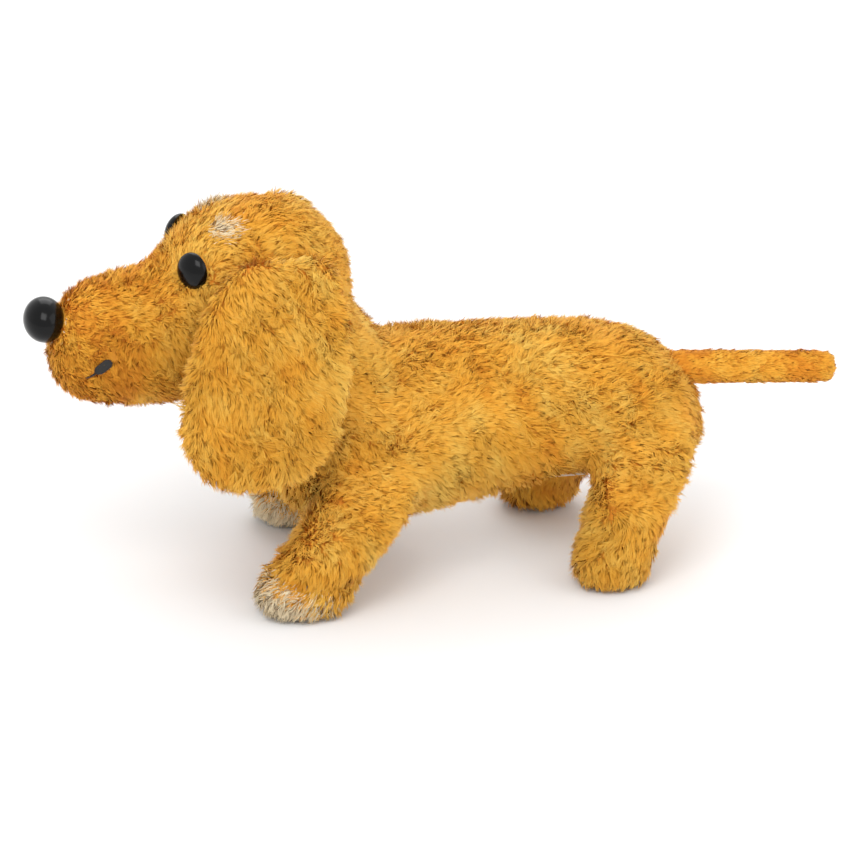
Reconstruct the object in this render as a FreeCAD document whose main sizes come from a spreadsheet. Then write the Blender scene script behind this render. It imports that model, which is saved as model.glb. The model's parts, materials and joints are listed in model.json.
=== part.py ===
"""An interactive plush dog: a stuffed dachshund with a nodding head, a wagging tail, flap ears and a belly module.

Millimetres, +Z up, the nose points along -X and the dog's left side is -Y. The origin is on the floor, midway
between nose tip and tail tip. Names that end in _left are on the -Y side.
"""

import FreeCAD, Part
import math
import os
import re

import Sketcher
from FreeCAD import Placement, Rotation, Vector

doc = FreeCAD.newDocument("plush_dog")

# --------------------------------------------------------------------------------------------------------------
# Driving dimensions, kept in the spreadsheet "dims". Every solid below reads its sizes from these cells.
# --------------------------------------------------------------------------------------------------------------
SIZES = {
    # Plush fabric and fits
    "skin": 2.4,  # backing plus half of the pile
    "skin_gap": 0.25,  # between the skin and its filling
    "running_fit": 0.05,  # radial clearance of a shaft in its bore
    "clearance": 0.3,
    # Belly module: two moulded halves that meet at housing_split
    "housing_front": -16,
    "housing_rear": 60,
    "housing_half_width": 17.5,
    "housing_bottom": 39.5,
    "housing_split": 60,
    "housing_top": 84,
    "housing_wall": 2,
    "housing_screw_front": -11.4,
    "housing_screw_rear": 55.4,
    "housing_screw_side": 12.9,
    "boss_radius": 3,
    # Battery bay and its door
    "cell_radius": 7.1,
    "cell_length": 50.5,
    "cell_side": 7.4,
    "cell_height": 49.2,
    "bay_front": 3,
    "bay_rear": 57.8,
    "bay_half_width": 15,
    "bay_ceiling": 56.8,
    "door_front": -3,
    "door_rear": 59,
    "door_half_width": 16.3,
    "door_thickness": 2,
    "door_slack": 0.2,
    "door_screw_x": 0.2,
    "contact_room": 3.6,
    "contact_wire": 0.35,
    # Power switch, in front of the door
    "switch_x": -9.5,
    "switch_travel": 4,
    "knob_length": 5,
    "knob_width": 3,
    # Circuit board
    "board_front": -4,
    "board_rear": 50,
    "board_half_width": 13.5,
    "board_height": 64,
    "board_thickness": 1.6,
    # Stroking button in the back
    "button_x": 22,
    "button_radius": 9,
    "button_base": 87,
    "button_thickness": 3,
    "button_stem_radius": 3,
    "button_travel": 1.5,
    # Speaker pod on the front wall of the module
    "pod_height": 52,
    "pod_radius": 15,
    "pod_depth": 12,
    "pod_wall": 1.5,
    "magnet_radius": 7.5,
    "magnet_depth": 5,
    "cone_radius": 11.5,
    "grille_thickness": 2,
    # Gears, shared by the neck and the tail
    "sector_module": 0.6,
    "sector_teeth": 50,
    "idler_small_teeth": 10,
    "motor_module": 0.5,
    "idler_large_teeth": 30,
    "pinion_teeth": 10,
    "gear_width": 3,
    "sector_width": 4,
    "sector_span": 50,  # degrees of rim that carry teeth
    "hub_radius": 5,
    "pivot_radius": 1.5,
    "axle_radius": 1,
    "plate": 2,
    # Drive motors
    "motor_radius": 7.5,
    "motor_length": 12,
    "motor_shaft_radius": 0.75,
    # Neck drive: the pivot runs along Y, and the train lies below and behind it
    "neck_x": -48,
    "neck_z": 93,
    "neck_train_angle": -50,
    "neck_motor_angle": -20,
    "neck_half_gap": 6.6,
    "neck_post_half": 4,
    "neck_plate_z": 126,
    "head_plate_radius": 15,
    "head_plate_x": -57,
    # Tail drive: the pivot runs along Z, and the tail droops a little behind it
    "tail_x": 87.5,
    "tail_z": 77,
    "tail_droop": 4.5,
    "tail_floor": 69,
    "tail_roof": 81.4,
    "tail_motor_angle": 90,
    "rod_radius": 2,
    "rod_length": 64.5,
    "tail_radius": 6.6,
    "tail_start": 13.6,
    "tail_end": 76.9,
    "tail_swing": 20,
    "seam": 0.06,
    # Face
    "eye_x": -98.5,
    "eye_y": 19.2,
    "eye_z": 142.3,
    "eye_radius": 7.5,
    "eye_turn": 52,  # degrees from sideways towards the front
    "shank_radius": 1.8,
    "shank_length": 11,
    "washer_radius": 6.5,
    "washer_thickness": 1.5,
    "nose_x": -155.5,
    "nose_z": 117,
    "nose_half_length": 8.3,
    "nose_half_width": 10.5,
    "nose_half_height": 9,
    "mouth_x": -135.5,
    "mouth_z": 102,
    "mouth_length": 5,
    "thread_radius": 0.8,
    "brow_x": -90,
    "brow_y": 12.5,
    "brow_z": 156.6,
    "brow_length": 7.5,
    "brow_width": 3.2,
    # Plush throat
    "neck_wall": 5,
    "neck_gap": 0.4,
    # Ears: flat padded flaps sewn along their top edge
    "ear_thickness": 9,
    "ear_hinge_y": 31.5,
    "ear_hinge_z": 147,
    "ear_tilt": 8,
    "ear_edge": 3,
}

# The torso's stations along X: x, height of its middle, half width, half height.
TORSO = [
    (-60, 46, 13, 15),
    (-54, 50, 25, 26),
    (-38, 56, 32, 34),
    (-12, 60.5, 35.5, 39),
    (28, 64.5, 34, 35.2),
    (69, 66.7, 31.5, 29.4),
    (88, 65, 28.5, 26.5),
    (101, 61, 19, 17),
    (108.5, 58, 9, 8),
]
# The head's stations along X, from the back of the skull to the lips.
HEAD = [
    (-34, 127, 11, 12),
    (-42, 126, 25, 27),
    (-58, 124.5, 33, 38),
    (-75, 122, 34, 41.5),
    (-90, 119.5, 31, 40.5),
    (-101, 115.5, 27, 35.5),
    (-112, 109.5, 23.5, 29.5),
    (-126, 108.2, 21, 28),
    (-139, 107.5, 19, 26),
    (-149, 106, 14.5, 19.5),
    (-154, 104, 7, 8),
]
# The legs' stations up Z: height, x, distance out from the middle, half length along X, half width along Y.
# The left fore leg and the right hind leg step forward, and the other two step back.
FORE_LEFT = [
    (0, -60, 45, 15, 12),
    (5, -60, 45, 19, 15.5),
    (12, -58, 45, 19, 16),
    (20, -52, 43.5, 18.5, 16),
    (30, -42, 40, 18.5, 16),
    (40, -34, 35, 19, 15),
    (52, -26, 27, 18, 13),
    (62, -22, 19, 13, 8),
]
FORE_RIGHT = [
    (0, -46, 45, 15, 12),
    (5, -46, 45, 19, 15.5),
    (12, -44.5, 45, 19, 16),
    (20, -40, 43.5, 18.5, 16),
    (30, -34, 40, 18.5, 16),
    (40, -29, 35, 19, 15),
    (52, -24, 27, 18, 13),
    (62, -22, 19, 13, 8),
]
HIND_LEFT = [
    (0, 69, 40, 12, 11),
    (5, 69, 40, 16, 14.5),
    (12, 70.5, 40, 17, 15),
    (22, 74.5, 38, 16.5, 14.5),
    (34, 80, 33, 17.5, 14.5),
    (50, 84, 25, 18, 12.5),
    (62, 84, 17, 14, 8),
]
HIND_RIGHT = [
    (0, 52, 40, 12, 11),
    (5, 52, 40, 16, 14.5),
    (12, 53.5, 40, 17, 15),
    (22, 59, 38, 16.5, 14.5),
    (34, 68, 33, 17.5, 14.5),
    (50, 80, 25, 18, 12.5),
    (62, 84, 17, 14, 8),
]
# The neck's stations up Z: height, x, half length along X, half width along Y.
NECK = [(64, -44, 22, 24), (78, -45, 27, 26), (92, -50, 27.5, 25.5), (108, -55, 27, 24), (118, -57, 25, 22)]
# The ear's outline: x, and distance down from its sewn edge. A closed spline runs through the points.
EAR = [(-84, 0), (-98, -18), (-106, -44), (-107, -72), (-98, -90), (-76, -93.5), (-54, -83), (-42, -58), (-40, -26), (-48, 0)]

OVAL_POINTS = 12  # points that each oval station is drawn through
OVAL_START = 0.37  # steps that its seam is off the widest point

sheet = doc.addObject("Spreadsheet::Sheet", "dims")


def store(alias, value):
    """Puts a plain number in the sheet's next free row, with its name beside it."""
    row = len(stored) + 1
    stored.append(alias)
    sheet.set(f"A{row}", alias)
    sheet.set(f"B{row}", str(value))
    sheet.setAlias(f"B{row}", alias)


stored = []
for size_name, size_value in SIZES.items():
    store(size_name, size_value)
STATIONS = {
    "torso": (TORSO, ("x", "mid", "wide", "high")),
    "head": (HEAD, ("x", "mid", "wide", "high")),
    "fore_left": (FORE_LEFT, ("up", "x", "out", "long", "wide")),
    "fore_right": (FORE_RIGHT, ("up", "x", "out", "long", "wide")),
    "hind_left": (HIND_LEFT, ("up", "x", "out", "long", "wide")),
    "hind_right": (HIND_RIGHT, ("up", "x", "out", "long", "wide")),
    "neck": (NECK, ("up", "x", "long", "wide")),
    "ear_point": (EAR, ("x", "drop")),
}
for form, (rows, columns) in STATIONS.items():
    for number, row_values in enumerate(rows):
        for column, value in zip(columns, row_values):
            store(f"{form}_{number}_{column}", value)
doc.recompute()

subparts = []


def value_of(text):
    """The number that an expression on the sheet's cells gives now."""
    found = sheet.evalExpression(bound(text))
    return float(getattr(found, "Value", found))


def bound(text):
    """The expression with each cell's alias written the way that another object reads it."""
    return re.sub(r"[a-z][a-z0-9_]*", lambda m: f"dims.{m.group()}" if m.group() in stored else m.group(), str(text))


def bind(obj, prop, text):
    obj.setExpression(prop, bound(text))


def keep(obj, label):
    """Marks an object as a sub-part of the dog. Its Label names its file."""
    obj.Label = label
    subparts.append(obj)
    return obj


TURNS = {
    "X": Rotation(Vector(0, 1, 0), 90),
    "Y": Rotation(Vector(1, 0, 0), -90),
    "Z": Rotation(),
    "-Y": Rotation(Vector(1, 0, 0), 90),
    "-X": Rotation(Vector(0, 1, 0), -90),
}


def place(obj, corner, turn=Rotation()):
    obj.Placement = Placement(Vector(), turn)
    for axis, text in zip("xyz", corner):
        bind(obj, f"Placement.Base.{axis}", text)
    return obj


def box(name, low, high):
    """A block between two corners, each three expressions."""
    obj = doc.addObject("Part::Box", name)
    for prop, a, b in zip(("Length", "Width", "Height"), low, high):
        bind(obj, prop, f"({b}) - ({a})")
    return place(obj, low)


def cylinder(name, radius, length, start, axis="Z", sweep=None, turn=None):
    """A round bar from start along an axis. With sweep it is a wedge of that many degrees."""
    obj = doc.addObject("Part::Cylinder", name)
    bind(obj, "Radius", radius)
    bind(obj, "Height", length)
    if sweep is not None:
        bind(obj, "Angle", sweep)
    return place(obj, start, turn or TURNS[axis])


def cone(name, radius, top_radius, length, start, axis="Z"):
    obj = doc.addObject("Part::Cone", name)
    bind(obj, "Radius1", radius)
    bind(obj, "Radius2", top_radius)
    bind(obj, "Height", length)
    return place(obj, start, TURNS[axis])


def ellipsoid(name, half_x, half_y, half_z, centre, turn=Rotation()):
    """Radius1 of the primitive is along its own Z, Radius2 along X and Radius3 along Y."""
    obj = doc.addObject("Part::Ellipsoid", name)
    bind(obj, "Radius1", half_z)
    bind(obj, "Radius2", half_x)
    bind(obj, "Radius3", half_y)
    obj.Angle1, obj.Angle2, obj.Angle3 = -90, 90, 360
    return place(obj, centre, turn)


def fuse(name, *shapes):
    obj = doc.addObject("Part::MultiFuse", name)
    obj.Shapes = list(shapes)
    obj.Refine = True
    return obj


def group(name, *shapes):
    """Separate solids that share one node."""
    obj = doc.addObject("Part::Compound", name)
    obj.Links = list(shapes)
    return obj


def cut(name, base, *tools):
    obj = doc.addObject("Part::Cut", name)
    obj.Base = base
    obj.Tool = tools[0] if len(tools) == 1 else fuse(name + "_tools", *tools)
    return obj


def common(name, *shapes):
    obj = doc.addObject("Part::MultiCommon", name)
    obj.Shapes = list(shapes)
    return obj


def fixed(name, shape):
    """A Part::Feature for a form that no parametric object makes."""
    obj = doc.addObject("Part::Feature", name)
    obj.Shape = shape
    return obj


# --------------------------------------------------------------------------------------------------------------
# PartDesign helpers
# --------------------------------------------------------------------------------------------------------------
def new_body(name):
    return doc.addObject("PartDesign::Body", name)


def sketch_on(body, name, plane="XY_Plane", lift="0"):
    """A sketch on one of the body's own origin planes, lifted off it along its normal."""
    sketch = body.newObject("Sketcher::SketchObject", name)
    support = next(f for f in body.Origin.OriginFeatures if f.Role == plane)
    sketch.AttachmentSupport = [(support, "")]
    sketch.MapMode = "FlatFace"
    bind(sketch, "AttachmentOffset.Base.z", lift)
    return sketch


def outline(sketch, points):
    """A closed polygon whose corners are pinned to the sheet by their two distances from the origin."""
    corners = [Vector(value_of(x), value_of(y), 0) for x, y in points]
    first = sketch.GeometryCount
    for a, b in zip(corners, corners[1:] + corners[:1]):
        sketch.addGeometry(Part.LineSegment(a, b), False)
    for i, (x, y) in enumerate(points):
        line, following = first + i, first + (i + 1) % len(points)
        sketch.addConstraint(Sketcher.Constraint("Coincident", line, 2, following, 1))
        for kind, text, number in (("DistanceX", x, corners[i].x), ("DistanceY", y, corners[i].y)):
            at = sketch.addConstraint(Sketcher.Constraint(kind, -1, 1, line, 1, number))
            sketch.setExpression(f"Constraints[{at}]", bound(text))
    return sketch


def ring(sketch, radius, centre=("0", "0")):
    """A circle with its radius and centre pinned to the sheet."""
    x, y = (value_of(c) for c in centre)
    at = sketch.addGeometry(Part.Circle(Vector(x, y, 0), Vector(0, 0, 1), value_of(radius)), False)
    limits = [("Radius", (at,), value_of(radius), radius)]
    if (x, y) == (0, 0):
        sketch.addConstraint(Sketcher.Constraint("Coincident", at, 3, -1, 1))
    else:
        limits += [("DistanceX", (-1, 1, at, 3), x, centre[0]), ("DistanceY", (-1, 1, at, 3), y, centre[1])]
    for kind, where, number, text in limits:
        constraint = sketch.addConstraint(Sketcher.Constraint(kind, *where, number))
        sketch.setExpression(f"Constraints[{constraint}]", bound(text))
    return sketch


def pad(body, sketch, length):
    feature = body.newObject("PartDesign::Pad", sketch.Name + "_pad")
    feature.Profile = sketch
    bind(feature, "Length", length)
    sketch.Visibility = False
    return feature


def pocket(body, sketch, length, reverse=False):
    feature = body.newObject("PartDesign::Pocket", sketch.Name + "_pocket")
    feature.Profile = sketch
    feature.Reversed = reverse
    bind(feature, "Length", length)
    return feature


def revolve(body, sketch, axis="V_Axis"):
    feature = body.newObject("PartDesign::Revolution", sketch.Name + "_turned")
    feature.Profile = sketch
    feature.ReferenceAxis = (sketch, [axis])
    feature.Angle = 360
    return feature


def gear(name, module, teeth, width, bore):
    """A spur gear about Z with straight-sided teeth, one of them centred on +X. The teeth are thinner than half
    a pitch, so that two gears at their pitch distance turn with play and never bind."""
    body = new_body(name)
    pitch, root, tip = f"{module} * {teeth} / 2", f"{module} * ({teeth} / 2 - 1)", f"{module} * ({teeth} / 2 + 0.75)"
    disc = sketch_on(body, name + "_disc")
    ring(disc, root)
    pad(body, disc, width)
    flank = sketch_on(body, name + "_tooth")
    foot, crest = f"{module} * 0.86", f"{module} * 0.3"
    base = f"{module} * ({teeth} / 2 - 1.3)"
    outline(flank, [(base, f"-({foot})"), (tip, f"-({crest})"), (tip, crest), (base, foot)])
    tooth = pad(body, flank, width)
    doc.recompute()
    pattern = body.newObject("PartDesign::PolarPattern", name + "_teeth")
    pattern.Originals = [tooth]
    pattern.Axis = (next(f for f in body.Origin.OriginFeatures if f.Role == "Z_Axis"), [""])
    pattern.Angle = 360
    bind(pattern, "Occurrences", teeth)
    body.Tip = pattern
    doc.recompute()
    hole = sketch_on(body, name + "_bore")
    ring(hole, bore)
    body.Tip = pocket(body, hole, width, reverse=True)
    return body


# --------------------------------------------------------------------------------------------------------------
# Forms made with Part's own functions
# --------------------------------------------------------------------------------------------------------------
def oval(centre, half_x, half_y, normal="X"):
    """An ellipse as one smooth spline through OVAL_POINTS points. normal is the axis that it faces."""
    points = []
    for i in range(OVAL_POINTS):
        around = 2 * math.pi * (i + OVAL_START) / OVAL_POINTS
        a, b = half_x * math.cos(around), half_y * math.sin(around)
        points.append(centre + (Vector(0, a, b) if normal == "X" else Vector(a, b, 0)))
    curve = Part.BSplineCurve()
    curve.interpolate(points, PeriodicFlag=True)
    return Part.Wire(curve.toShape())


def along_x(form, inset=0.0):
    """A stuffed form lofted through its stations. inset draws the whole form in, and shortens it to match."""
    rows = [[value_of(f"{form}_{i}_{c}") for c in STATIONS[form][1]] for i in range(len(STATIONS[form][0]))]
    middle, half = (rows[0][0] + rows[-1][0]) / 2, abs(rows[-1][0] - rows[0][0]) / 2
    ovals = [
        oval(Vector(middle + (x - middle) * (1 - inset / half), 0, mid), wide - inset, high - inset)
        for x, mid, wide, high in rows
    ]
    return Part.makeLoft(ovals, True, False)


def leg_form(form, side):
    """A stuffed leg on its flat sole, up into the torso. side is -1 on the left and 1 on the right."""
    ovals = []
    for i in range(len(STATIONS[form][0])):
        up, x, out, length, wide = (value_of(f"{form}_{i}_{c}") for c in STATIONS[form][1])
        ovals.append(oval(Vector(x, side * out, up), length, wide, normal="Z"))
    return Part.makeLoft(ovals, True, False)


def tube_along(points, radius):
    """A round lead through the points: straight runs joined by tangent arcs as large as the runs allow."""
    share = 0.45
    ends, edges = [Vector(*points[0])], []
    for a, b, c in zip(points, points[1:], points[2:]):
        a, b, c = Vector(*a), Vector(*b), Vector(*c)
        into, out = (b - a), (c - b)
        reach = share * min(into.Length, out.Length)
        into.normalize()
        out.normalize()
        start, end = b - into * reach, b + out * reach
        bisector = (out - into).normalize()
        turn = into.getAngle(out)
        bend = reach / math.tan(turn / 2)
        middle = b + bisector * (bend / math.cos(turn / 2) - bend)
        edges += [Part.LineSegment(ends[-1], start).toShape(), Part.Arc(start, middle, end).toShape()]
        ends.append(end)
    edges.append(Part.LineSegment(ends[-1], Vector(*points[-1])).toShape())
    path = Part.Wire(edges)
    way = (Vector(*points[1]) - Vector(*points[0])).normalize()
    profile = Part.Wire(Part.makeCircle(radius, Vector(*points[0]), way))
    return path.makePipeShell([profile], True, True)


def coil(radius, wire, turns, length):
    """A helical spring about +Z from the origin."""
    steps = round(turns * 12)
    angles = [2 * math.pi * turns * i / steps for i in range(steps + 1)]
    path = [(radius * math.cos(a), radius * math.sin(a), length * i / steps) for i, a in enumerate(angles)]
    return tube_along(path, wire)


# --------------------------------------------------------------------------------------------------------------
# Belly module
# --------------------------------------------------------------------------------------------------------------
def screw(name, head_radius, head_height, radius, length, under_head, axis="-Z"):
    """A cross-head screw. under_head is the middle of the head's underside, and the shank goes along axis."""
    turn = {"-Z": Rotation(Vector(1, 0, 0), 180), "X": TURNS["X"], "Z": TURNS["Z"], "-Y": TURNS["-Y"], "Y": TURNS["Y"]}[axis]
    body = new_body(name)
    profile = sketch_on(body, name + "_profile", "XZ_Plane")
    outline(
        profile,
        [("0", f"-({head_height})"), (head_radius, f"-({head_height})"), (head_radius, "0"), (radius, "0"),
         (radius, f"({length}) - ({radius})"), ("0", length)],
    )
    revolve(body, profile)
    for way, size in (("slot_a", (f"{head_radius} * 0.65", "0.25")), ("slot_b", ("0.25", f"{head_radius} * 0.65"))):
        cross = sketch_on(body, f"{name}_{way}", lift=f"-({head_height})")
        across, along = size
        outline(cross, [(f"-({across})", f"-({along})"), (across, f"-({along})"), (across, along), (f"-({across})", along)])
        body.Tip = pocket(body, cross, f"({head_height}) * 0.6", reverse=True)
    place(body, under_head, turn)
    return body


def screw_places():
    return [
        (name, x, y)
        for name, x, y in (
            ("front_left", "housing_screw_front", "-housing_screw_side"),
            ("front_right", "housing_screw_front", "housing_screw_side"),
            ("rear_left", "housing_screw_rear", "-housing_screw_side"),
            ("rear_right", "housing_screw_rear", "housing_screw_side"),
        )
    ]


def build_module():
    wide = "housing_half_width"
    shell = box("lower_block", ("housing_front", f"-{wide}", "housing_bottom"), ("housing_rear", wide, "housing_split"))
    holes = [
        box("bay", ("bay_front", "-bay_half_width", "housing_bottom - 1"), ("bay_rear", "bay_half_width", "bay_ceiling")),
        box("door_rebate", ("door_front", "-door_half_width", "housing_bottom - 1"),
            ("door_rear", "door_half_width", "housing_bottom + door_thickness")),
        box("switch_slot", ("switch_x - knob_width / 2 - 0.2", "-switch_travel / 2 - knob_length / 2 - 0.2", "housing_bottom - 1"),
            ("switch_x + knob_width / 2 + 0.2", "switch_travel / 2 + knob_length / 2 + 0.2", "housing_bottom + 2")),
        box("switch_room", ("switch_x - 4.5", "-9", "housing_bottom + housing_wall"), ("switch_x + 4.5", "9", "housing_split + 1")),
        cylinder("door_screw_hole", "1.1", "9", ("door_screw_x", "0", "housing_bottom")),
    ]
    holes += [cylinder(f"lower_hole_{n}", "1.05", "3", (x, y, "housing_split - 2.6")) for n, x, y in screw_places()]
    posts = [
        cylinder(f"board_post_{i}", "2", "board_height - housing_split", (x, y, "housing_split"))
        for i, (x, y) in enumerate([("2", "-9.5"), ("2", "9.5"), ("44", "-9.5"), ("44", "9.5")])
    ]
    keep(fuse("lower_with_posts", cut("lower_shell", shell, *holes), *posts), "housing_lower")

    cover = box("upper_block", ("housing_front", f"-{wide}", "housing_split"), ("housing_rear", wide, "housing_top"))
    wall = "housing_wall"
    room = box("upper_room", (f"housing_front + {wall}", f"-{wide} + {wall}", "housing_split - 1"),
               (f"housing_rear - {wall}", f"{wide} - {wall}", f"housing_top - {wall}"))
    hollow = cut("upper_hollow", cover, room)
    bosses = [cylinder(f"boss_{n}", "boss_radius", "housing_top - housing_split", (x, y, "housing_split")) for n, x, y in screw_places()]
    holes = [cylinder(f"upper_hole_{n}", "1.05", "housing_top - housing_split + 2", (x, y, "housing_split - 1")) for n, x, y in screw_places()]
    holes += [cylinder(f"upper_sink_{n}", "2.3", "3", (x, y, "housing_top - 1.6")) for n, x, y in screw_places()]
    holes += [
        cylinder("button_bore", "button_stem_radius + 0.3", "housing_wall + 2", ("button_x", "0", "housing_top - housing_wall - 1")),
        cylinder("front_lead_hole", "2", "housing_wall + 2", ("housing_front - 1", "0", "pod_height + 12"), "X"),
        cylinder("side_lead_hole", "2", "housing_wall + 2", ("-6", "housing_half_width - housing_wall - 1", "71"), "Y"),
        cylinder("rear_lead_hole", "2", "housing_wall + 2", ("housing_rear - housing_wall - 1", "-5", "63.5"), "X"),
    ]
    keep(cut("upper_finished", fuse("upper_bossed", hollow, *bosses), *holes), "housing_upper")
    screws = [screw(f"housing_screw_{n}", "2.1", "1.4", "1", "24.8", (x, y, "housing_top - 1.6")) for n, x, y in screw_places()]
    keep(group("housing_screw_group", *screws), "housing_screws")

    door = new_body("door_body")
    face = sketch_on(door, "door_face")
    front, rear, half = "door_front + door_slack", "door_rear - door_slack", "door_half_width - door_slack"
    outline(face, [(front, f"-({half})"), (rear, f"-({half})"), (rear, half), (front, half)])
    pad(door, face, "door_thickness - 0.1")
    for i in range(5):
        grip = sketch_on(door, f"door_grip_{i}")
        x = f"40 + {i} * 2.6"
        outline(grip, [(x, "-7"), (f"{x} + 1.2", "-7"), (f"{x} + 1.2", "7"), (x, "7")])
        door.Tip = pocket(door, grip, "0.6", reverse=True)
    hole = sketch_on(door, "door_hole")
    ring(hole, "1.25", ("door_screw_x", "0"))
    door.Tip = pocket(door, hole, "door_thickness", reverse=True)
    place(door, ("0", "0", "housing_bottom"))
    keep(door, "battery_door")
    keep(screw("door_screw_body", "2.4", "0.9", "1", "7.6", ("door_screw_x", "0", "housing_bottom - 0.05"), "Z"), "battery_door_screw")

    for label, y, start, can_shift, nub_shift in (
        ("battery_left", "-cell_side", "bay_front + contact_room", "0", "cell_length - 1.5"),
        ("battery_right", "cell_side", "bay_rear - contact_room - cell_length", "1.5", "0"),
    ):
        can = cylinder(label + "_can", "cell_radius", "cell_length - 1.5", (f"{start} + {can_shift}", y, "cell_height"), "X")
        nub = cylinder(label + "_nub", "2.7", "1.5", (f"{start} + {nub_shift}", y, "cell_height"), "X")
        keep(fuse(label + "_whole", can, nub), label)
    build_contacts()
    build_switch()
    build_board()
    build_button()
    build_speaker()


def build_contacts():
    """A coil spring on each negative end and a plate on each positive end."""
    pieces = []
    wire, room = value_of("contact_wire"), value_of("contact_room")
    for i, (y, at_front) in enumerate((("-cell_side", True), ("cell_side", False))):
        spring = fixed(f"contact_spring_{i}", coil(3.4, wire, 1.5, room - 2 * wire - 0.3))
        x = value_of("bay_front") + wire + 0.15 if at_front else value_of("bay_rear") - wire - 0.15
        spring.Placement = Placement(Vector(x, value_of(y), value_of("cell_height")), TURNS["X" if at_front else "-X"])
        pieces.append(spring)
        plate_x = "bay_rear - 0.6" if at_front else "bay_front + 0.1"
        pieces.append(box(f"contact_plate_{i}", (plate_x, f"{y} - 5", "cell_height - 5"), (f"{plate_x} + 0.5", f"{y} + 5", "cell_height + 5")))
    keep(group("contact_group", *pieces), "battery_contacts")


def build_switch():
    floor = "housing_bottom + housing_wall"
    keep(box("switch_case", ("switch_x - 4", "-6.5", f"{floor} + 1.7"), ("switch_x + 4", "6.5", f"{floor} + 7")), "power_switch_case")
    stem = box("knob_stem", ("switch_x - knob_width / 2", "-knob_length / 2 - switch_travel / 2", "housing_bottom - 0.8"),
               ("switch_x + knob_width / 2", "knob_length / 2 - switch_travel / 2", f"{floor} + 0.4"))
    flange = box("knob_flange", ("switch_x - 3", "-knob_length / 2 - switch_travel / 2 - 1.5", f"{floor} + 0.3"),
                 ("switch_x + 3", "knob_length / 2 - switch_travel / 2 + 1.5", f"{floor} + 1.5"))
    grooves = [
        box(f"knob_groove_{i}", ("switch_x - knob_width", f"-switch_travel / 2 - 1.6 + {i} * 1.3", "housing_bottom - 1"),
            ("switch_x + knob_width", f"-switch_travel / 2 - 1.1 + {i} * 1.3", "housing_bottom - 0.4"))
        for i in range(3)
    ]
    keep(cut("knob_finished", fuse("knob_whole", stem, flange), *grooves), "power_switch_knob")


def build_board():
    board = new_body("board_body")
    face = sketch_on(board, "board_face")
    outline(face, [("board_front", "-board_half_width"), ("board_rear", "-board_half_width"), ("board_rear", "board_half_width"), ("board_front", "board_half_width")])
    pad(board, face, "board_thickness")
    place(board, ("0", "0", "board_height"))
    keep(board, "circuit_board")
    top = "board_height + board_thickness"
    parts = [
        box("chip", ("2", "-8", top), ("12", "2", f"{top} + 1.6")),
        box("sound_chip", ("34", "-4", top), ("42", "4", f"{top} + 1.4")),
        cylinder("capacitor_a", "2.5", "7", ("30", "9", top)),
        cylinder("capacitor_b", "2", "5", ("8", "9", top)),
        box("pet_switch_case", ("button_x - 3", "-3", top), ("button_x + 3", "3", f"{top} + 2.1")),
        box("lead_socket_front", ("-3", "-3.5", top), ("1", "3.5", f"{top} + 3")),
        box("lead_socket_rear", ("44", "5", top), ("49", "12", f"{top} + 3")),
    ]
    keep(group("board_part_group", *parts), "board_components")


def build_button():
    body = new_body("button_body")
    profile = sketch_on(body, "button_profile", "XZ_Plane")
    stem, under = "button_stem_radius", "housing_top - housing_wall"
    outline(
        profile,
        [("0", "69.6"), (stem, "69.6"), (stem, f"{under} - 1.4"), (f"{stem} + 1.5", f"{under} - 1.4"), (f"{stem} + 1.5", f"{under} - 0.3"),
         (stem, f"{under} - 0.3"), (stem, "button_base"), ("button_radius", "button_base"),
         ("button_radius", "button_base + button_thickness - 1"), ("button_radius - 1", "button_base + button_thickness"),
         ("0", "button_base + button_thickness")],
    )
    revolve(body, profile)
    place(body, ("button_x", "0", "0"))
    keep(body, "stroke_button")
    height = value_of("button_base - housing_top")
    spring = fixed("button_coil", coil(value_of(f"{stem}") + 1.6, 0.3, 2, height - 0.8))
    spring.Placement = Placement(Vector(value_of("button_x"), 0, value_of("housing_top") + 0.4), Rotation())
    keep(spring, "stroke_button_spring")


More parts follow.
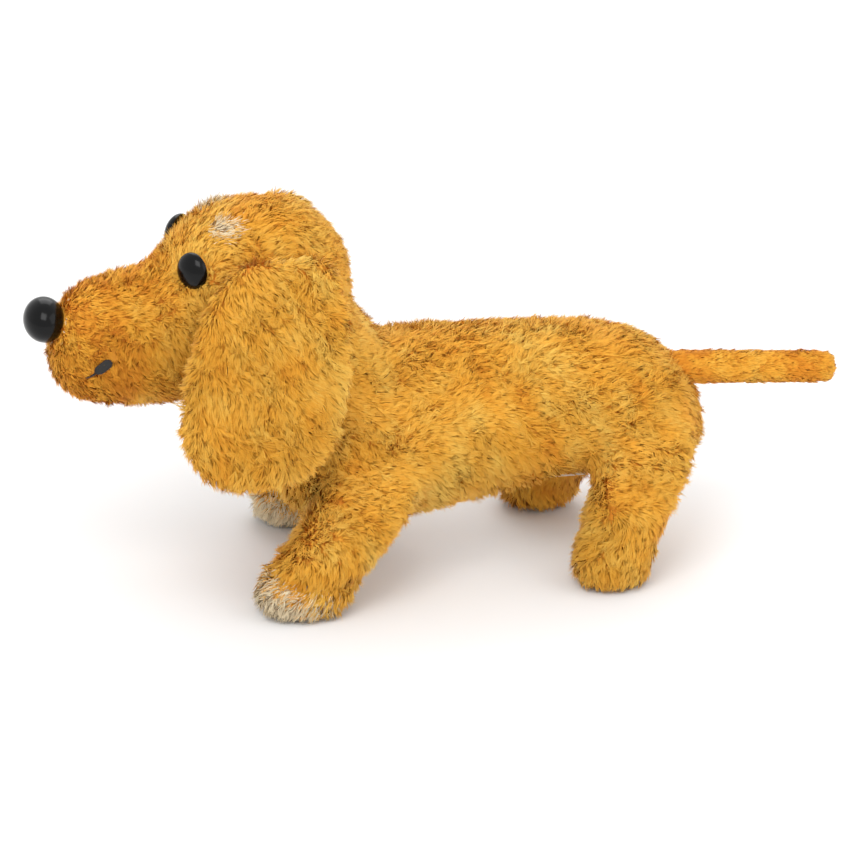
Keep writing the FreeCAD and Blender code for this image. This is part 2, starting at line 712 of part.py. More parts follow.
def build_speaker():
    centre = ("0", "pod_height")
    start = ("housing_front - pod_depth", *centre)
    shell = cylinder("pod_shell", "pod_radius", "pod_depth", start, "X")
    hollow = cylinder("pod_hollow", "pod_radius - pod_wall", "pod_depth - pod_wall", start, "X")
    slot = cylinder("pod_lead_hole", "2", "pod_wall + 1", ("housing_front - pod_wall - 0.5", "0", "pod_height + 12"), "X")
    keep(cut("pod_finished", shell, hollow, slot), "speaker_pod")
    body = new_body("speaker_body")
    profile = sketch_on(body, "speaker_profile", "XZ_Plane")
    back, rim = "housing_front - pod_wall - 0.1", "pod_radius - pod_wall - 0.3"
    outline(
        profile,
        [(back, "0"), (back, "magnet_radius"), (f"{back} - magnet_depth", "magnet_radius"), (f"{back} - magnet_depth - 3.5", rim),
         (f"{back} - magnet_depth - 4.6", rim), (f"{back} - magnet_depth - 4.6", "cone_radius + 0.1"),
         (f"{back} - magnet_depth - 0.8", "magnet_radius - 2"), (f"{back} - magnet_depth - 0.8", "0")],
    )
    revolve(body, profile, "H_Axis")
    place(body, ("0", "0", "pod_height"))
    keep(body, "speaker")
    cone_body = new_body("cone_body")
    profile = sketch_on(cone_body, "cone_profile", "XZ_Plane")
    outline(
        profile,
        [(f"{back} - magnet_depth - 1", "0"), (f"{back} - magnet_depth - 1", "3"), (f"{back} - magnet_depth - 3.9", "cone_radius - 2.4"),
         (f"{back} - magnet_depth - 4.4", "cone_radius - 0.4"), (f"{back} - magnet_depth - 4.9", "cone_radius - 0.4"),
         (f"{back} - magnet_depth - 4.5", "cone_radius - 2.6"), (f"{back} - magnet_depth - 2", "3"), (f"{back} - magnet_depth - 2.4", "0")],
    )
    revolve(cone_body, profile, "H_Axis")
    place(cone_body, ("0", "0", "pod_height"))
    keep(cone_body, "speaker_cone")
    disc = cylinder("grille_disc", "pod_radius", "grille_thickness", ("housing_front - pod_depth - grille_thickness", *centre), "X")
    slots = [
        box(f"grille_slot_{i}", ("housing_front - pod_depth - grille_thickness - 1", f"-(10 - abs({i}) * 1.6)", f"pod_height + {i} * 4.4 - 1"),
            ("housing_front - pod_depth + 1", f"10 - abs({i}) * 1.6", f"pod_height + {i} * 4.4 + 1"))
        for i in range(-2, 3)
    ]
    keep(cut("grille_finished", disc, *slots), "speaker_grille")


# --------------------------------------------------------------------------------------------------------------
# Drives
# --------------------------------------------------------------------------------------------------------------
SMALL_PITCH = "sector_module * idler_small_teeth / 2"
SECTOR_PITCH = "sector_module * sector_teeth / 2"
LARGE_PITCH = "motor_module * idler_large_teeth / 2"
PINION_PITCH = "motor_module * pinion_teeth / 2"


def train(pivot, train_angle, motor_angle):
    """Places of the idler and the motor in the plane of the gears, from the sector's pivot."""
    first, second = value_of(f"{SECTOR_PITCH} + {SMALL_PITCH}"), value_of(f"{LARGE_PITCH} + {PINION_PITCH}")
    a, b = math.radians(train_angle), math.radians(motor_angle)
    idler = (pivot[0] + first * math.cos(a), pivot[1] + first * math.sin(a))
    return idler, (idler[0] + second * math.cos(b), idler[1] + second * math.sin(b))


def in_gap(angle, teeth):
    """The turn that puts a gear's gap, and not a tooth, at this angle."""
    return angle + 180.0 / teeth


def sector(name, span_middle):
    """The toothed quarter of a large gear, with its hub, about Z. Its width starts at Z 0."""
    wheel = gear(name + "_wheel", "sector_module", "sector_teeth", "sector_width", "hub_radius - 1")
    wheel.Placement = Placement(Vector(), Rotation(Vector(0, 0, 1), span_middle))
    span = value_of("sector_span")
    wedge = cylinder(name + "_wedge", f"{SECTOR_PITCH} + 3", "sector_width + 2", ("0", "0", "-1"), sweep="sector_span",
                     turn=Rotation(Vector(0, 0, 1), span_middle - span / 2))
    return common(name + "_rim", wheel, wedge)


def flat_turn(angle):
    return Rotation(Vector(0, 0, 1), angle)


def motor(name):
    """A small flatted can motor about Z with its shaft pointing up, mounting face at Z 0."""
    can = cylinder(name + "_can", "motor_radius", "motor_length", ("0", "0", "-motor_length"))
    boss = cylinder(name + "_boss", "2.2", "1", ("0", "0", "0"))
    cap = cylinder(name + "_cap", "3", "1.2", ("0", "0", "-motor_length - 1.2"))
    tags = [box(f"{name}_tag_{i}", (f"{y} - 0.3", "3.6", "-motor_length - 2.5"), (f"{y} + 0.3", "5.6", "-motor_length")) for i, y in enumerate(("-3", "3"))]
    return fuse(name + "_whole", can, boss, cap, *tags)


def on_z(obj, where, angle=0.0):
    """Sets down something built about Z at a place of the tail drive."""
    obj.Placement = Placement(Vector(*where), flat_turn(angle))
    return obj


def on_y(obj, x, y, z, angle=0.0):
    """Sets down something built about Z with its axis along -Y, so that its X and Y become the dog's X and Z."""
    obj.Placement = Placement(Vector(x, y, z), TURNS["-Y"].multiply(flat_turn(angle)))
    return obj


def idler_gear(name, small_start, large_start, phase_small, phase_large):
    """A large and a small gear moulded as one."""
    small = gear(name + "_small", "sector_module", "idler_small_teeth", "sector_width + 0.4", "axle_radius + running_fit")
    large = gear(name + "_large", "motor_module", "idler_large_teeth", "gear_width", "axle_radius + running_fit")
    on_z(small, (0, 0, small_start), phase_small)
    on_z(large, (0, 0, large_start), phase_large)
    low = min(small_start, large_start)
    high = max(small_start + value_of("sector_width + 0.4"), large_start + value_of("gear_width"))
    sleeve = cylinder(name + "_sleeve", "2", str(high - low), ("0", "0", str(low)))
    core = cylinder(name + "_core", "axle_radius + running_fit", str(high - low + 2), ("0", "0", str(low - 1)))
    return cut(name + "_moulding", fuse(name + "_solid", small, large, sleeve), core)


def build_tail_drive():
    pivot = (value_of("tail_x"), 0.0)
    idler, drive = train(pivot, 180, value_of("tail_motor_angle"))
    floor, roof, mid = value_of("tail_floor"), value_of("tail_roof"), value_of("tail_z")
    half = value_of("sector_width") / 2
    plate_outline = [("housing_rear", "-14"), ("tail_x - 4", "-14"), ("tail_x + 4.5", "-5"), ("tail_x + 4.5", "5"), ("tail_x - 4", "14"),
                     ("housing_rear", "14")]
    for label, z in (("tail_frame_lower", "tail_floor - plate"), ("tail_frame_upper", "tail_roof")):
        body = new_body(label + "_body")
        pad(body, outline(sketch_on(body, label + "_face"), plate_outline), "plate")
        place(body, ("0", "0", z))
        down = label == "tail_frame_lower"
        flange = box(label + "_flange", ("housing_rear", "-14", "tail_floor - 8" if down else "tail_roof - 5"),
                     ("housing_rear + 1.4", "14", "tail_floor" if down else "tail_roof"))
        drills = [
            cylinder(f"{label}_pivot_hole", "pivot_radius + running_fit", "plate + 2", ("tail_x", "0", f"{z} - 1")),
            cylinder(f"{label}_axle_hole", "axle_radius + running_fit", "plate + 2", (str(idler[0]), str(idler[1]), f"{z} - 1")),
        ]
        solids = [body, flange]
        if down:
            drills.append(cylinder("tail_motor_hole", "2.4", "plate + 2", (str(drive[0]), str(drive[1]), f"{z} - 1")))
            drills.append(cylinder("tail_lead_hole", "2", "4", ("housing_rear - 1", "-5", "63.5"), "X"))
            solids += [cylinder(f"tail_pillar_{i}", "1.8", "tail_roof - tail_floor", ("tail_x - 6", y, "tail_floor")) for i, y in enumerate(("-12", "12"))]
        keep(cut(label + "_finished", fuse(label + "_joined", *solids), *drills), label)
    keep(on_z(motor("tail_motor_can"), (drive[0], drive[1], floor - value_of("plate")), 0), "tail_motor")
    shaft = cylinder("tail_shaft", "motor_shaft_radius", "plate + 4.4", (str(drive[0]), str(drive[1]), "tail_floor - plate + 1"))
    pinion = gear("tail_pinion_gear", "motor_module", "pinion_teeth", "gear_width", "motor_shaft_radius")
    on_z(pinion, (drive[0], drive[1], floor + 1), in_gap(value_of("tail_motor_angle") + 180, value_of("pinion_teeth")))
    keep(fuse("tail_pinion_whole", shaft, pinion), "tail_pinion")
    moulding = idler_gear("tail_idler", mid - half - 0.2, floor + 1, in_gap(0, value_of("idler_small_teeth")), value_of("tail_motor_angle"))
    keep(on_z(moulding, (idler[0], idler[1], 0)), "tail_idler_gear")
    length = "tail_roof - tail_floor + 2 * plate"
    keep(cylinder("tail_axle", "axle_radius", length, (str(idler[0]), "0", "tail_floor - plate")), "tail_idler_axle")
    keep(cylinder("tail_pin", "pivot_radius", length, ("tail_x", "0", "tail_floor - plate")), "tail_pivot_pin")

    rim = on_z(sector("tail_sector", 180), (pivot[0], 0, mid - half))
    hub = cylinder("tail_hub", "hub_radius", "tail_roof - tail_floor - 0.4", ("tail_x", "0", "tail_floor + 0.2"))
    droop = Rotation(Vector(0, 1, 0), 90 + value_of("tail_droop"))
    arm = cylinder("tail_arm", "rod_radius + 2", "13", ("tail_x", "0", "tail_z"), turn=droop)
    bore = cylinder("tail_hub_bore", "pivot_radius + running_fit", "30", ("tail_x", "0", "tail_floor - 5"))
    socket_place = Vector(pivot[0], 0, mid) + droop.multVec(Vector(0, 0, 5))
    socket = cylinder("tail_rod_socket", "rod_radius", "20", [str(c) for c in socket_place], turn=droop)
    keep(cut("tail_lever_finished", fuse("tail_lever_solid", rim, hub, arm), bore, socket), "tail_lever")
    keep(cylinder("tail_core", "rod_radius", "rod_length", [str(c) for c in socket_place], turn=droop), "tail_rod")
    build_tail(Vector(pivot[0], 0, mid), droop)


def build_tail(pivot, droop):
    """The plush sleeve: a straight tube with a blunt rounded end and a blind hole for the rod."""
    body = new_body("tail_body")
    profile = sketch_on(body, "tail_profile", "XZ_Plane")
    outline(
        profile,
        [("rod_radius + 0.1", "tail_start"), ("tail_radius - 0.8", "tail_start"), ("tail_radius", "tail_start + 2"),
         ("tail_radius", "tail_end - 2.4"), ("tail_radius - 0.9", "tail_end - 0.7"), ("tail_radius - 2.6", "tail_end"), ("0", "tail_end"),
         ("0", "5 + rod_length + 0.2"), ("rod_radius + 0.1", "5 + rod_length + 0.2")],
    )
    revolve(body, profile)
    body.Placement = Placement(pivot, droop)
    keep(body, "tail_plush")


def build_neck_drive():
    pivot = (value_of("neck_x"), value_of("neck_z"))
    idler, drive = train(pivot, value_of("neck_train_angle"), value_of("neck_motor_angle"))
    gap, half = value_of("neck_half_gap"), value_of("sector_width") / 2
    side_face = [("housing_front", "70"), ("housing_front", "90"), ("-40", "96"), ("neck_x - 5", "99"), ("neck_x - 5", "88"), ("-37", "70")]
    for label, side in (("neck_frame_left", -1), ("neck_frame_right", 1)):
        body = new_body(label + "_body")
        pad(body, outline(sketch_on(body, label + "_face", "XY_Plane"), side_face), "plate")
        outer = gap * side if side < 0 else gap + value_of("plate")
        body.Placement = Placement(Vector(0, outer, 0), TURNS["-Y"])
        low, high = ("-neck_half_gap - plate - 4", "-neck_half_gap") if side < 0 else ("neck_half_gap", "neck_half_gap + plate + 4")
        flange = box(label + "_flange", ("housing_front - 1.4", low, "70"), ("housing_front", high, "housing_top"))
        start = "-neck_half_gap - plate - 1" if side < 0 else "neck_half_gap - 1"
        drills = [
            cylinder(f"{label}_pivot_hole", "pivot_radius + running_fit", "plate + 2", ("neck_x", start, "neck_z"), "Y"),
            cylinder(f"{label}_axle_hole", "axle_radius + running_fit", "plate + 2", (str(idler[0]), start, str(idler[1])), "Y"),
        ]
        if side > 0:
            drills.append(cylinder("neck_motor_hole", "2.4", "plate + 6", (str(drive[0]), start, str(drive[1])), "Y"))
        keep(cut(label + "_finished", fuse(label + "_joined", body, flange), *drills), label)
    keep(on_y(motor("neck_motor_can"), drive[0], gap + value_of("plate"), drive[1], 180), "neck_motor")
    shaft = cylinder("neck_shaft", "motor_shaft_radius", "neck_half_gap + plate - 3.5", (str(drive[0]), "2.5", str(drive[1])), "Y")
    pinion = gear("neck_pinion_gear", "motor_module", "pinion_teeth", "gear_width", "motor_shaft_radius")
    on_y(pinion, drive[0], gap - 0.6, drive[1], in_gap(value_of("neck_motor_angle") + 180, value_of("pinion_teeth")))
    keep(fuse("neck_pinion_whole", shaft, pinion), "neck_pinion")
    # Built about Z and set down along -Y, so a height of 0 is at Y = base and heights run towards -Y.
    base = gap - 0.4
    moulding = idler_gear("neck_idler", base - half - 0.2, 0.2, in_gap(value_of("neck_train_angle") + 180, value_of("idler_small_teeth")),
                          value_of("neck_motor_angle"))
    keep(on_y(moulding, idler[0], base, idler[1]), "neck_idler_gear")
    length, start = "2 * (neck_half_gap + plate)", "-neck_half_gap - plate"
    keep(cylinder("neck_axle", "axle_radius", length, (str(idler[0]), start, str(idler[1])), "Y"), "neck_idler_axle")
    keep(cylinder("neck_pin", "pivot_radius", length, ("neck_x", start, "neck_z"), "Y"), "neck_pivot_pin")

    rim = on_y(sector("neck_sector", value_of("neck_train_angle")), pivot[0], half, pivot[1])
    hub = cylinder("neck_hub", "hub_radius", "2 * neck_half_gap - 0.4", ("neck_x", "-neck_half_gap + 0.2", "neck_z"), "Y")
    post = box("neck_post", ("neck_x - neck_post_half", "-neck_post_half", "neck_z"), ("neck_x + neck_post_half", "neck_post_half", "neck_plate_z"))
    bore = cylinder("neck_hub_bore", "pivot_radius + running_fit", "30", ("neck_x", "-15", "neck_z"), "Y")
    thread = cylinder("neck_post_thread", "1.25", "10", ("neck_x", "0", "neck_plate_z - 9"))
    keep(cut("neck_lever_finished", fuse("neck_lever_solid", rim, hub, post), bore, thread), "neck_lever")
    disc = cylinder("head_disc", "head_plate_radius", "3", ("head_plate_x", "0", "neck_plate_z"))
    hole = cylinder("head_disc_hole", "1.3", "5", ("neck_x", "0", "neck_plate_z - 1"))
    keep(cut("head_plate_finished", disc, hole), "head_plate")
    keep(screw("head_plate_screw_body", "2.6", "1.5", "1.2", "9.5", ("neck_x", "0", "neck_plate_z + 3")), "head_plate_screw")


def build_leads():
    """Two insulated leads each from the speaker, the neck motor and the tail motor, to the sockets on the board."""
    paths = [[(-18.4, y, 64.0), (-12, y, 64.0), (-8, y, 66.6), (-3.1, y, 67.2)] for y in (-1, 1)]
    paths += [
        [(-24, 23.1, 71.2), (-24, 25.4, 71.3), (-18, 25.4, 71.8), (-5.4, 23.5, 71.6), (-5.4, 11, 71.6), (-5.4, 3.0, 68.6),
         (-3.05, 2.6, 67.6)],
        [(-30, 23.1, 71.2), (-30, 25.6, 71.0), (-20, 26.2, 70.0), (-6.9, 24.9, 70.2), (-6.9, 11, 70.2), (-6.9, 4.2, 66.6),
         (-3.05, 2.9, 66.3)],
        [(66.5, 14.6, 52.5), (66.5, 14.6, 49.6), (62.8, -4.2, 49.6), (62.8, -4.2, 63.5), (55.4, -4.2, 63.5), (53.4, 8, 67),
         (49.05, 8, 67)],
        [(72.5, 14.6, 52.5), (72.5, 14.6, 47.8), (64.6, -5.8, 47.8), (64.6, -5.8, 63.5), (53.6, -5.8, 63.5), (51.5, 5.8, 67),
         (49.05, 5.8, 67)],
    ]
    keep(fixed("lead_group", Part.makeCompound([tube_along(path, 0.5) for path in paths])), "leads")


# --------------------------------------------------------------------------------------------------------------
# Soft parts
# --------------------------------------------------------------------------------------------------------------
def half_space(name):
    """The whole of the dog's left side, as a block that ends on the seam."""
    return box(name, ("-200", "-100", "-20"), ("200", "0", "220"))


def stuffed(form, rooms, openings):
    """A filling and a skin of two halves sewn along the middle. The filling leaves out the rooms that the insides
    need, and both leave out the openings."""
    outer = fixed(form + "_outer", along_x(form))
    inner = fixed(form + "_inner", along_x(form, value_of("skin")))
    filling = fixed(form + "_filling_form", along_x(form, value_of("skin + skin_gap")))
    keep(cut(form + "_filling_cut", filling, *[r() for r in rooms + openings]), form + "_filling")
    left = common(form + "_left_shell", cut(form + "_shell", outer, inner), half_space(form + "_left_side"))
    right = doc.addObject("Part::Mirroring", form + "_right_shell")
    right.Source = left
    right.Normal = Vector(0, 1, 0)
    keep(cut(form + "_left_cut", left, *[r() for r in openings]), form + "_skin_left")
    keep(cut(form + "_right_cut", right, *[r() for r in openings]), form + "_skin_right")
    return outer


def build_torso():
    gap = "clearance"
    rooms = [
        lambda: cylinder("pod_room", f"pod_radius + {gap}", f"pod_depth + grille_thickness + 2 * {gap}",
                         (f"housing_front - pod_depth - grille_thickness - {gap}", "0", "pod_height"), "X"),
        lambda: cylinder("button_room", "button_radius + 0.5", "button_base + button_thickness - housing_top + 1.5", ("button_x", "0", "housing_top")),
        lambda: box("neck_motor_room", ("-36", "4", "67"), ("-4", "27", "85")),
        lambda: box("tail_room", ("housing_rear - 1", "-15.5", "tail_floor - 10"), ("tail_x + 8", "15.5", f"tail_roof + plate + {gap}")),
        lambda: box("tail_motor_room", ("housing_rear - 1", "-7", "46.5"), ("78", "18.3", "70")),
    ]
    openings = [
        lambda: box("module_room", (f"housing_front - {gap}", f"-housing_half_width - {gap}", "10"),
                    (f"housing_rear + {gap}", f"housing_half_width + {gap}", f"housing_top + {gap}")),
        lambda: box("neck_room", ("-70", "-15", "69"), ("housing_front", "15", "120")),
        lambda: cylinder("tail_fan", "50", "17", ("tail_x", "0", "tail_z - tail_radius - 2"), sweep="2 * tail_swing + 58",
                         turn=Rotation(Vector(0, 0, 1), -value_of("tail_swing") - 29)),
    ]
    return stuffed("torso", rooms, openings)


def build_neck(torso):
    """The plush throat: a ring that spans from the shoulders to the head and flexes when the head nods."""
    def ovals(inset):
        rows = [[value_of(f"neck_{i}_{c}") for c in STATIONS["neck"][1]] for i in range(len(NECK))]
        return [oval(Vector(x, 0, up), length - inset, wide - inset, normal="Z") for up, x, length, wide in rows]

    ring_form = Part.makeLoft(ovals(0), True, False)
    hollow = Part.makeLoft(ovals(value_of("neck_wall")), True, False)
    head = fixed("head_near", along_x("head", -value_of("neck_gap")))
    keep(cut("neck_cut", fixed("neck_form", ring_form), fixed("neck_hollow", hollow), torso, head), "neck_plush")


def build_legs(torso):
    """The legs end on the torso's skin, a seam's width away from it."""
    for label, form, side in (
        ("front_leg_left", "fore_left", -1),
        ("front_leg_right", "fore_right", 1),
        ("rear_leg_left", "hind_left", -1),
        ("rear_leg_right", "hind_right", 1),
    ):
        keep(cut(label + "_cut", fixed(label + "_form", leg_form(form, side)), torso), label)


def eye_turn(side):
    """Turns +Z to where the eye looks: sideways, then forward, and a little up."""
    around = value_of("eye_turn")
    look = Vector(-math.sin(math.radians(around)), side * math.cos(math.radians(around)), 0.12)
    return Rotation(Vector(0, 0, 1), look), look.normalize()


def build_head():
    gap = "clearance"
    sides = (("left", -1), ("right", 1))

    def shank_room(side, name):
        turn, look = eye_turn(side)
        eye = Vector(value_of("eye_x"), side * value_of("eye_y"), value_of("eye_z"))
        back = eye - look * (value_of("shank_length") + 1)
        stem = cylinder(f"{name}_stem_room", f"shank_radius + 0.2", "40", [str(c) for c in back], turn=turn)
        cap = cylinder(f"{name}_cap_room", f"eye_radius + {gap}", "30", [str(c) for c in eye - look * 0.6], turn=turn)
        washer_at = eye - look * value_of("shank_length - 1")
        washer = cylinder(f"{name}_washer_room", "washer_radius + 0.2", "washer_thickness + 0.6", [str(c) for c in washer_at], turn=turn)
        return fuse(f"{name}_eye_room", stem, cap, washer)

    openings = [
        lambda: cylinder("pivot_room", "21", "2 * (neck_half_gap + plate) + 6", ("neck_x", "-neck_half_gap - plate - 3", "neck_z"), "Y"),
        lambda: shank_room(-1, "left"),
        lambda: shank_room(1, "right"),
        lambda: ellipsoid("nose_room", f"nose_half_length + {gap}", f"nose_half_width + {gap}", f"nose_half_height + {gap}", ("nose_x", "0", "nose_z")),
        lambda: cylinder("nose_shank_room", "2.8", "16", ("nose_x", "0", "nose_z - 2"), "X"),
    ]
    rooms = [
        lambda: box("post_room", ("neck_x - 7", "-neck_post_half - 0.3", "80"), ("neck_x + 7", "neck_post_half + 0.3", f"neck_plate_z + {gap}")),
        lambda: cylinder("disc_room", f"head_plate_radius + {gap}", f"5 + {gap}", ("head_plate_x", "0", f"neck_plate_z - {gap}")),
        lambda: cylinder("nose_washer_room", "washer_radius + 0.2", "3.2", ("nose_x + 11", "0", "nose_z - 2"), "X"),
    ]
    stuffed("head", rooms, openings)
    washers = []

    for label, side in sides:
        turn, look = eye_turn(side)
        eye = Vector(value_of("eye_x"), side * value_of("eye_y"), value_of("eye_z"))
        dome = ellipsoid(f"{label}_dome", "eye_radius", "eye_radius", "4.6", [str(c) for c in eye], turn)
        backing = cylinder(f"{label}_back_cut", "eye_radius + 1", "10", [str(c) for c in eye - look * 10], turn=turn)
        shank = cylinder(f"{label}_shank", "shank_radius", "shank_length", [str(c) for c in eye - look * value_of("shank_length")], turn=turn)
        keep(fuse(f"{label}_eye_whole", cut(f"{label}_eye_dome", dome, backing), shank), f"eye_{label}")
        at = eye - look * value_of("shank_length - 1.3")
        disc = cylinder(f"{label}_washer_disc", "washer_radius", "washer_thickness", [str(c) for c in at], turn=turn)
        hole = cylinder(f"{label}_washer_hole", "shank_radius + 0.03", "8", [str(c) for c in at - look * 3], turn=turn)
        washers.append(cut(f"{label}_washer_cut", disc, hole))
    keep(group("washer_group", *washers), "eye_washers")

    bulb = ellipsoid("nose_bulb", "nose_half_length", "nose_half_width", "nose_half_height", ("nose_x", "0", "nose_z"))
    stem = cylinder("nose_stem", "2.5", "15.5", ("nose_x", "0", "nose_z - 2"), "X")
    keep(fuse("nose_whole", bulb, stem), "nose")
    disc = cylinder("nose_washer_disc", "washer_radius", "washer_thickness", ("nose_x + 12", "0", "nose_z - 2"), "X")
    keep(cut("nose_washer_cut", disc, cylinder("nose_washer_hole", "2.53", "5", ("nose_x + 10", "0", "nose_z - 2"), "X")), "nose_washer")

    stitches, patches = [], []
    for label, side in sides:
        slant = Rotation(Vector(0, 1, 0), 40)
        surface = side_of_head("mouth_x", "mouth_z")
        y = side * (surface + value_of("thread_radius") + 0.9)
        stitches.append(cylinder(f"{label}_stitch", "thread_radius", "mouth_length", ("mouth_x", str(y), "mouth_z - mouth_length / 2"), turn=slant))
        lean = Rotation(Vector(1, 0, 0), -side * 28)
        patches.append(ellipsoid(f"{label}_patch", "brow_length", "brow_width", "1.3", ("brow_x", f"{side} * brow_y", "brow_z + 0.6"), lean))
    keep(group("stitch_group", *stitches), "mouth_stitches")
    head = doc.getObject("head_outer")
    keep(cut("patches_cut", group("patch_group", *patches), head), "brow_patches")


def side_of_head(x_text, z_text):
    """How far out the head's surface is at this length and height."""
    line = Part.makeLine(Vector(value_of(x_text), 0, value_of(z_text)), Vector(value_of(x_text), 80, value_of(z_text)))
    return doc.getObject("head_outer").Shape.common(line).BoundBox.YMax


def build_ears():
    for label, side in (("ear_left", -1), ("ear_right", 1)):
        body = new_body(label + "_body")
        shape = sketch_on(body, label + "_outline", "XZ_Plane")
        points = [Vector(value_of(f"ear_point_{i}_x"), value_of(f"ear_point_{i}_drop"), 0) for i in range(len(EAR))]
        curve = Part.BSplineCurve()
        curve.interpolate(points, PeriodicFlag=True)
        shape.addGeometry(curve, False)
        feature = pad(body, shape, "ear_thickness")
        feature.Reversed = side > 0
        doc.recompute()
        rounded = body.newObject("PartDesign::Fillet", label + "_rounded")
        faces = [e for e in range(1, len(feature.Shape.Edges) + 1) if feature.Shape.Edges[e - 1].Length > 100]
        rounded.Base = (feature, [f"Edge{e}" for e in faces])
        bind(rounded, "Radius", "ear_edge")
        body.Tip = rounded
        tilt = Rotation(Vector(1, 0, 0), side * value_of("ear_tilt"))
        body.Placement = Placement(Vector(0, side * value_of("ear_hinge_y"), value_of("ear_hinge_z")), tilt)
        keep(body, label)


build_module()
build_tail_drive()
build_neck_drive()
build_leads()
build_torso()
torso_near = fixed("torso_near", along_x("torso", -value_of("seam")))
build_legs(torso_near)
build_neck(torso_near)
doc.recompute()
build_head()
build_ears()
doc.recompute()

problems = [f"{o.Name}: {o.State}" for o in doc.Objects if "Invalid" in o.State or "Error" in o.State]
problems += [f"{o.Label}: null or not valid" for o in subparts if o.Shape.isNull() or not o.Shape.isValid()]
if problems:
    raise SystemExit("\n".join(problems))

os.makedirs("parts", exist_ok=True)
for part in subparts:
    part.Shape.exportStep(f"parts/{part.Label}.step")
    print(f"{part.Label}: {len(part.Shape.Solids)} solids, {part.Shape.Volume:.0f} mm3")
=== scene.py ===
"""The looks of the stuffed dachshund: its coat, ears, tail and face, and its hidden drives' finishes."""

import json
import math

import bpy
import numpy as np
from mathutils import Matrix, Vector


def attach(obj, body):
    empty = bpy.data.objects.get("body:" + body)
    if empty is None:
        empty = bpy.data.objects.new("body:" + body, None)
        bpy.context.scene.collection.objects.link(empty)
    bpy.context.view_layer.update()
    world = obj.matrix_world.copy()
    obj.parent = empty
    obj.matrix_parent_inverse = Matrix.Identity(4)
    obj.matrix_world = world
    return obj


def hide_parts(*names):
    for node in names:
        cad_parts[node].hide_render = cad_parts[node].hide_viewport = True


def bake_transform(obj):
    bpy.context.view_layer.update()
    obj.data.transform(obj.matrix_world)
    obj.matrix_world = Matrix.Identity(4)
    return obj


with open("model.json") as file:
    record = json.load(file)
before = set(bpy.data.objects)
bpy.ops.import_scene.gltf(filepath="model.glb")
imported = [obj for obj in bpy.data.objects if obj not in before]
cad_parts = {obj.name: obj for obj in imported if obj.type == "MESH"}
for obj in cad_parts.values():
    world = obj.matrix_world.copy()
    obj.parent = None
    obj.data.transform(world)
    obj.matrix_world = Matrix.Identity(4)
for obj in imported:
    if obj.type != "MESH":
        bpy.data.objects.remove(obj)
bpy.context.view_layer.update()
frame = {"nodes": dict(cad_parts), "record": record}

bl_info = {
    "name": "Stuffed Dachshund",
    "version": (1, 0, 0),
    "blender": (4, 5, 0),
    "location": "3D View > Sidebar > Dachshund",
    "description": "Builds the plush coat, face and finishes of a stuffed dachshund",
    "category": "Add Mesh",
}

MM = 0.001
SEED = 7
SIDES = ((-1, "left"), (1, "right"))

# A lock's tone: cream below CREAM_LIMIT, and from there pale gold to deep orange at 1.
CREAM_LIMIT = 0.2
PALEST_TONE = 0.23  # the palest gold that a form is given
PALEST_LOCK = 0.22  # the palest gold that a single lock may reach

# How the locks stand. Lengths are in millimetres.
TUFT, CLUMP, SWIRL = 3.4, 8.5, 24  # wavelengths of the noises that gather and turn the locks
LOCK_RISE = 0.62  # how strongly a lock leaves along the normal
MOST_LEAN = 1.5  # the longest lean that is added to a lock's rise
BEND = 0.45  # the share of a lock below its bend
FLOOR_GAP = 0.1  # the lowest height that a lock may reach
PILE_ROOM = 2.3  # how far the coat's skin moves in to leave room for the pile

CLOTH_FRAMES = 20
CREASE_DEPTH, CREASE_WIDTH = 2.6, 2.8

# Finishes of the hidden parts, by their record's class.
METALS = {"brushed_steel", "brass"}
ROUGHNESS = {"gloss_plastic": 0.25, "matte_plastic": 0.5, "fabric": 0.8, "paper": 0.9}
METAL_ROUGHNESS = 0.34
GLOSSY_NODES = ("eye_left", "eye_right", "nose")

# The stage, in metres. The middle of the view lies 0.0529 up in it, which is over the cosine of the climb.
AIM = (-0.002, 0, 0.0529 / 0.906)
LIT_POINT = (0, 0, 0.08)  # the point that the lights face
SENSOR = 36  # millimetres
LIGHTS = (  # name, place, size, share of the main light's strength
    ("key light", (-0.55, -1.0, 1.5), 1.0, 1.0),
    ("fill light", (1.2, -0.9, 0.9), 1.4, 0.5),
    ("back light", (0.2, 1.3, 1.2), 1.2, 0.6),
)

# ------------------------------------------------------------------------------
# Shapes of the stuffed forms, in millimetres
# ------------------------------------------------------------------------------
# Along X: x, height of the middle, half width, half height.
TORSO = np.array([
    (-62, 50, 8, 10), (-59, 51, 18, 20), (-52, 54, 26, 28), (-38, 58, 32, 34), (-12, 61, 35, 38.5),
    (8, 62.6, 34.5, 36.6), (28, 64.5, 33.5, 34.6), (48, 66.1, 32, 32), (69, 66.7, 31, 29), (84, 64.5, 29, 27),
    (96, 59, 25, 24), (104, 56, 18, 17), (109, 55, 9, 9),
])
NECK_RIDGE = np.array([  # from the shoulders up into the skull: x, z, half length, half width
    (-28, 66, 25, 27), (-38, 84, 24, 27), (-49, 100, 22, 27), (-60, 116, 22, 27), (-66, 126, 16, 20),
])
HEAD = np.array([
    (-33.5, 124, 8, 9), (-37, 124.5, 18, 19), (-44.7, 124.0, 26.5, 29.6), (-56, 123.2, 32, 36.8),
    (-67, 121.8, 34, 39.8), (-78, 120.8, 33.5, 40.8), (-87.3, 119.2, 31.5, 40.4), (-97.4, 116.6, 29, 37.2),
    (-105.6, 112.3, 26, 32.6), (-113.7, 108.5, 23.5, 29.2), (-125.9, 107.2, 21, 27.6),
    (-138, 106.2, 18.8, 25.8), (-146, 105.6, 16.2, 21.4), (-151.5, 104.6, 11.5, 15), (-154.4, 104, 6, 7),
])
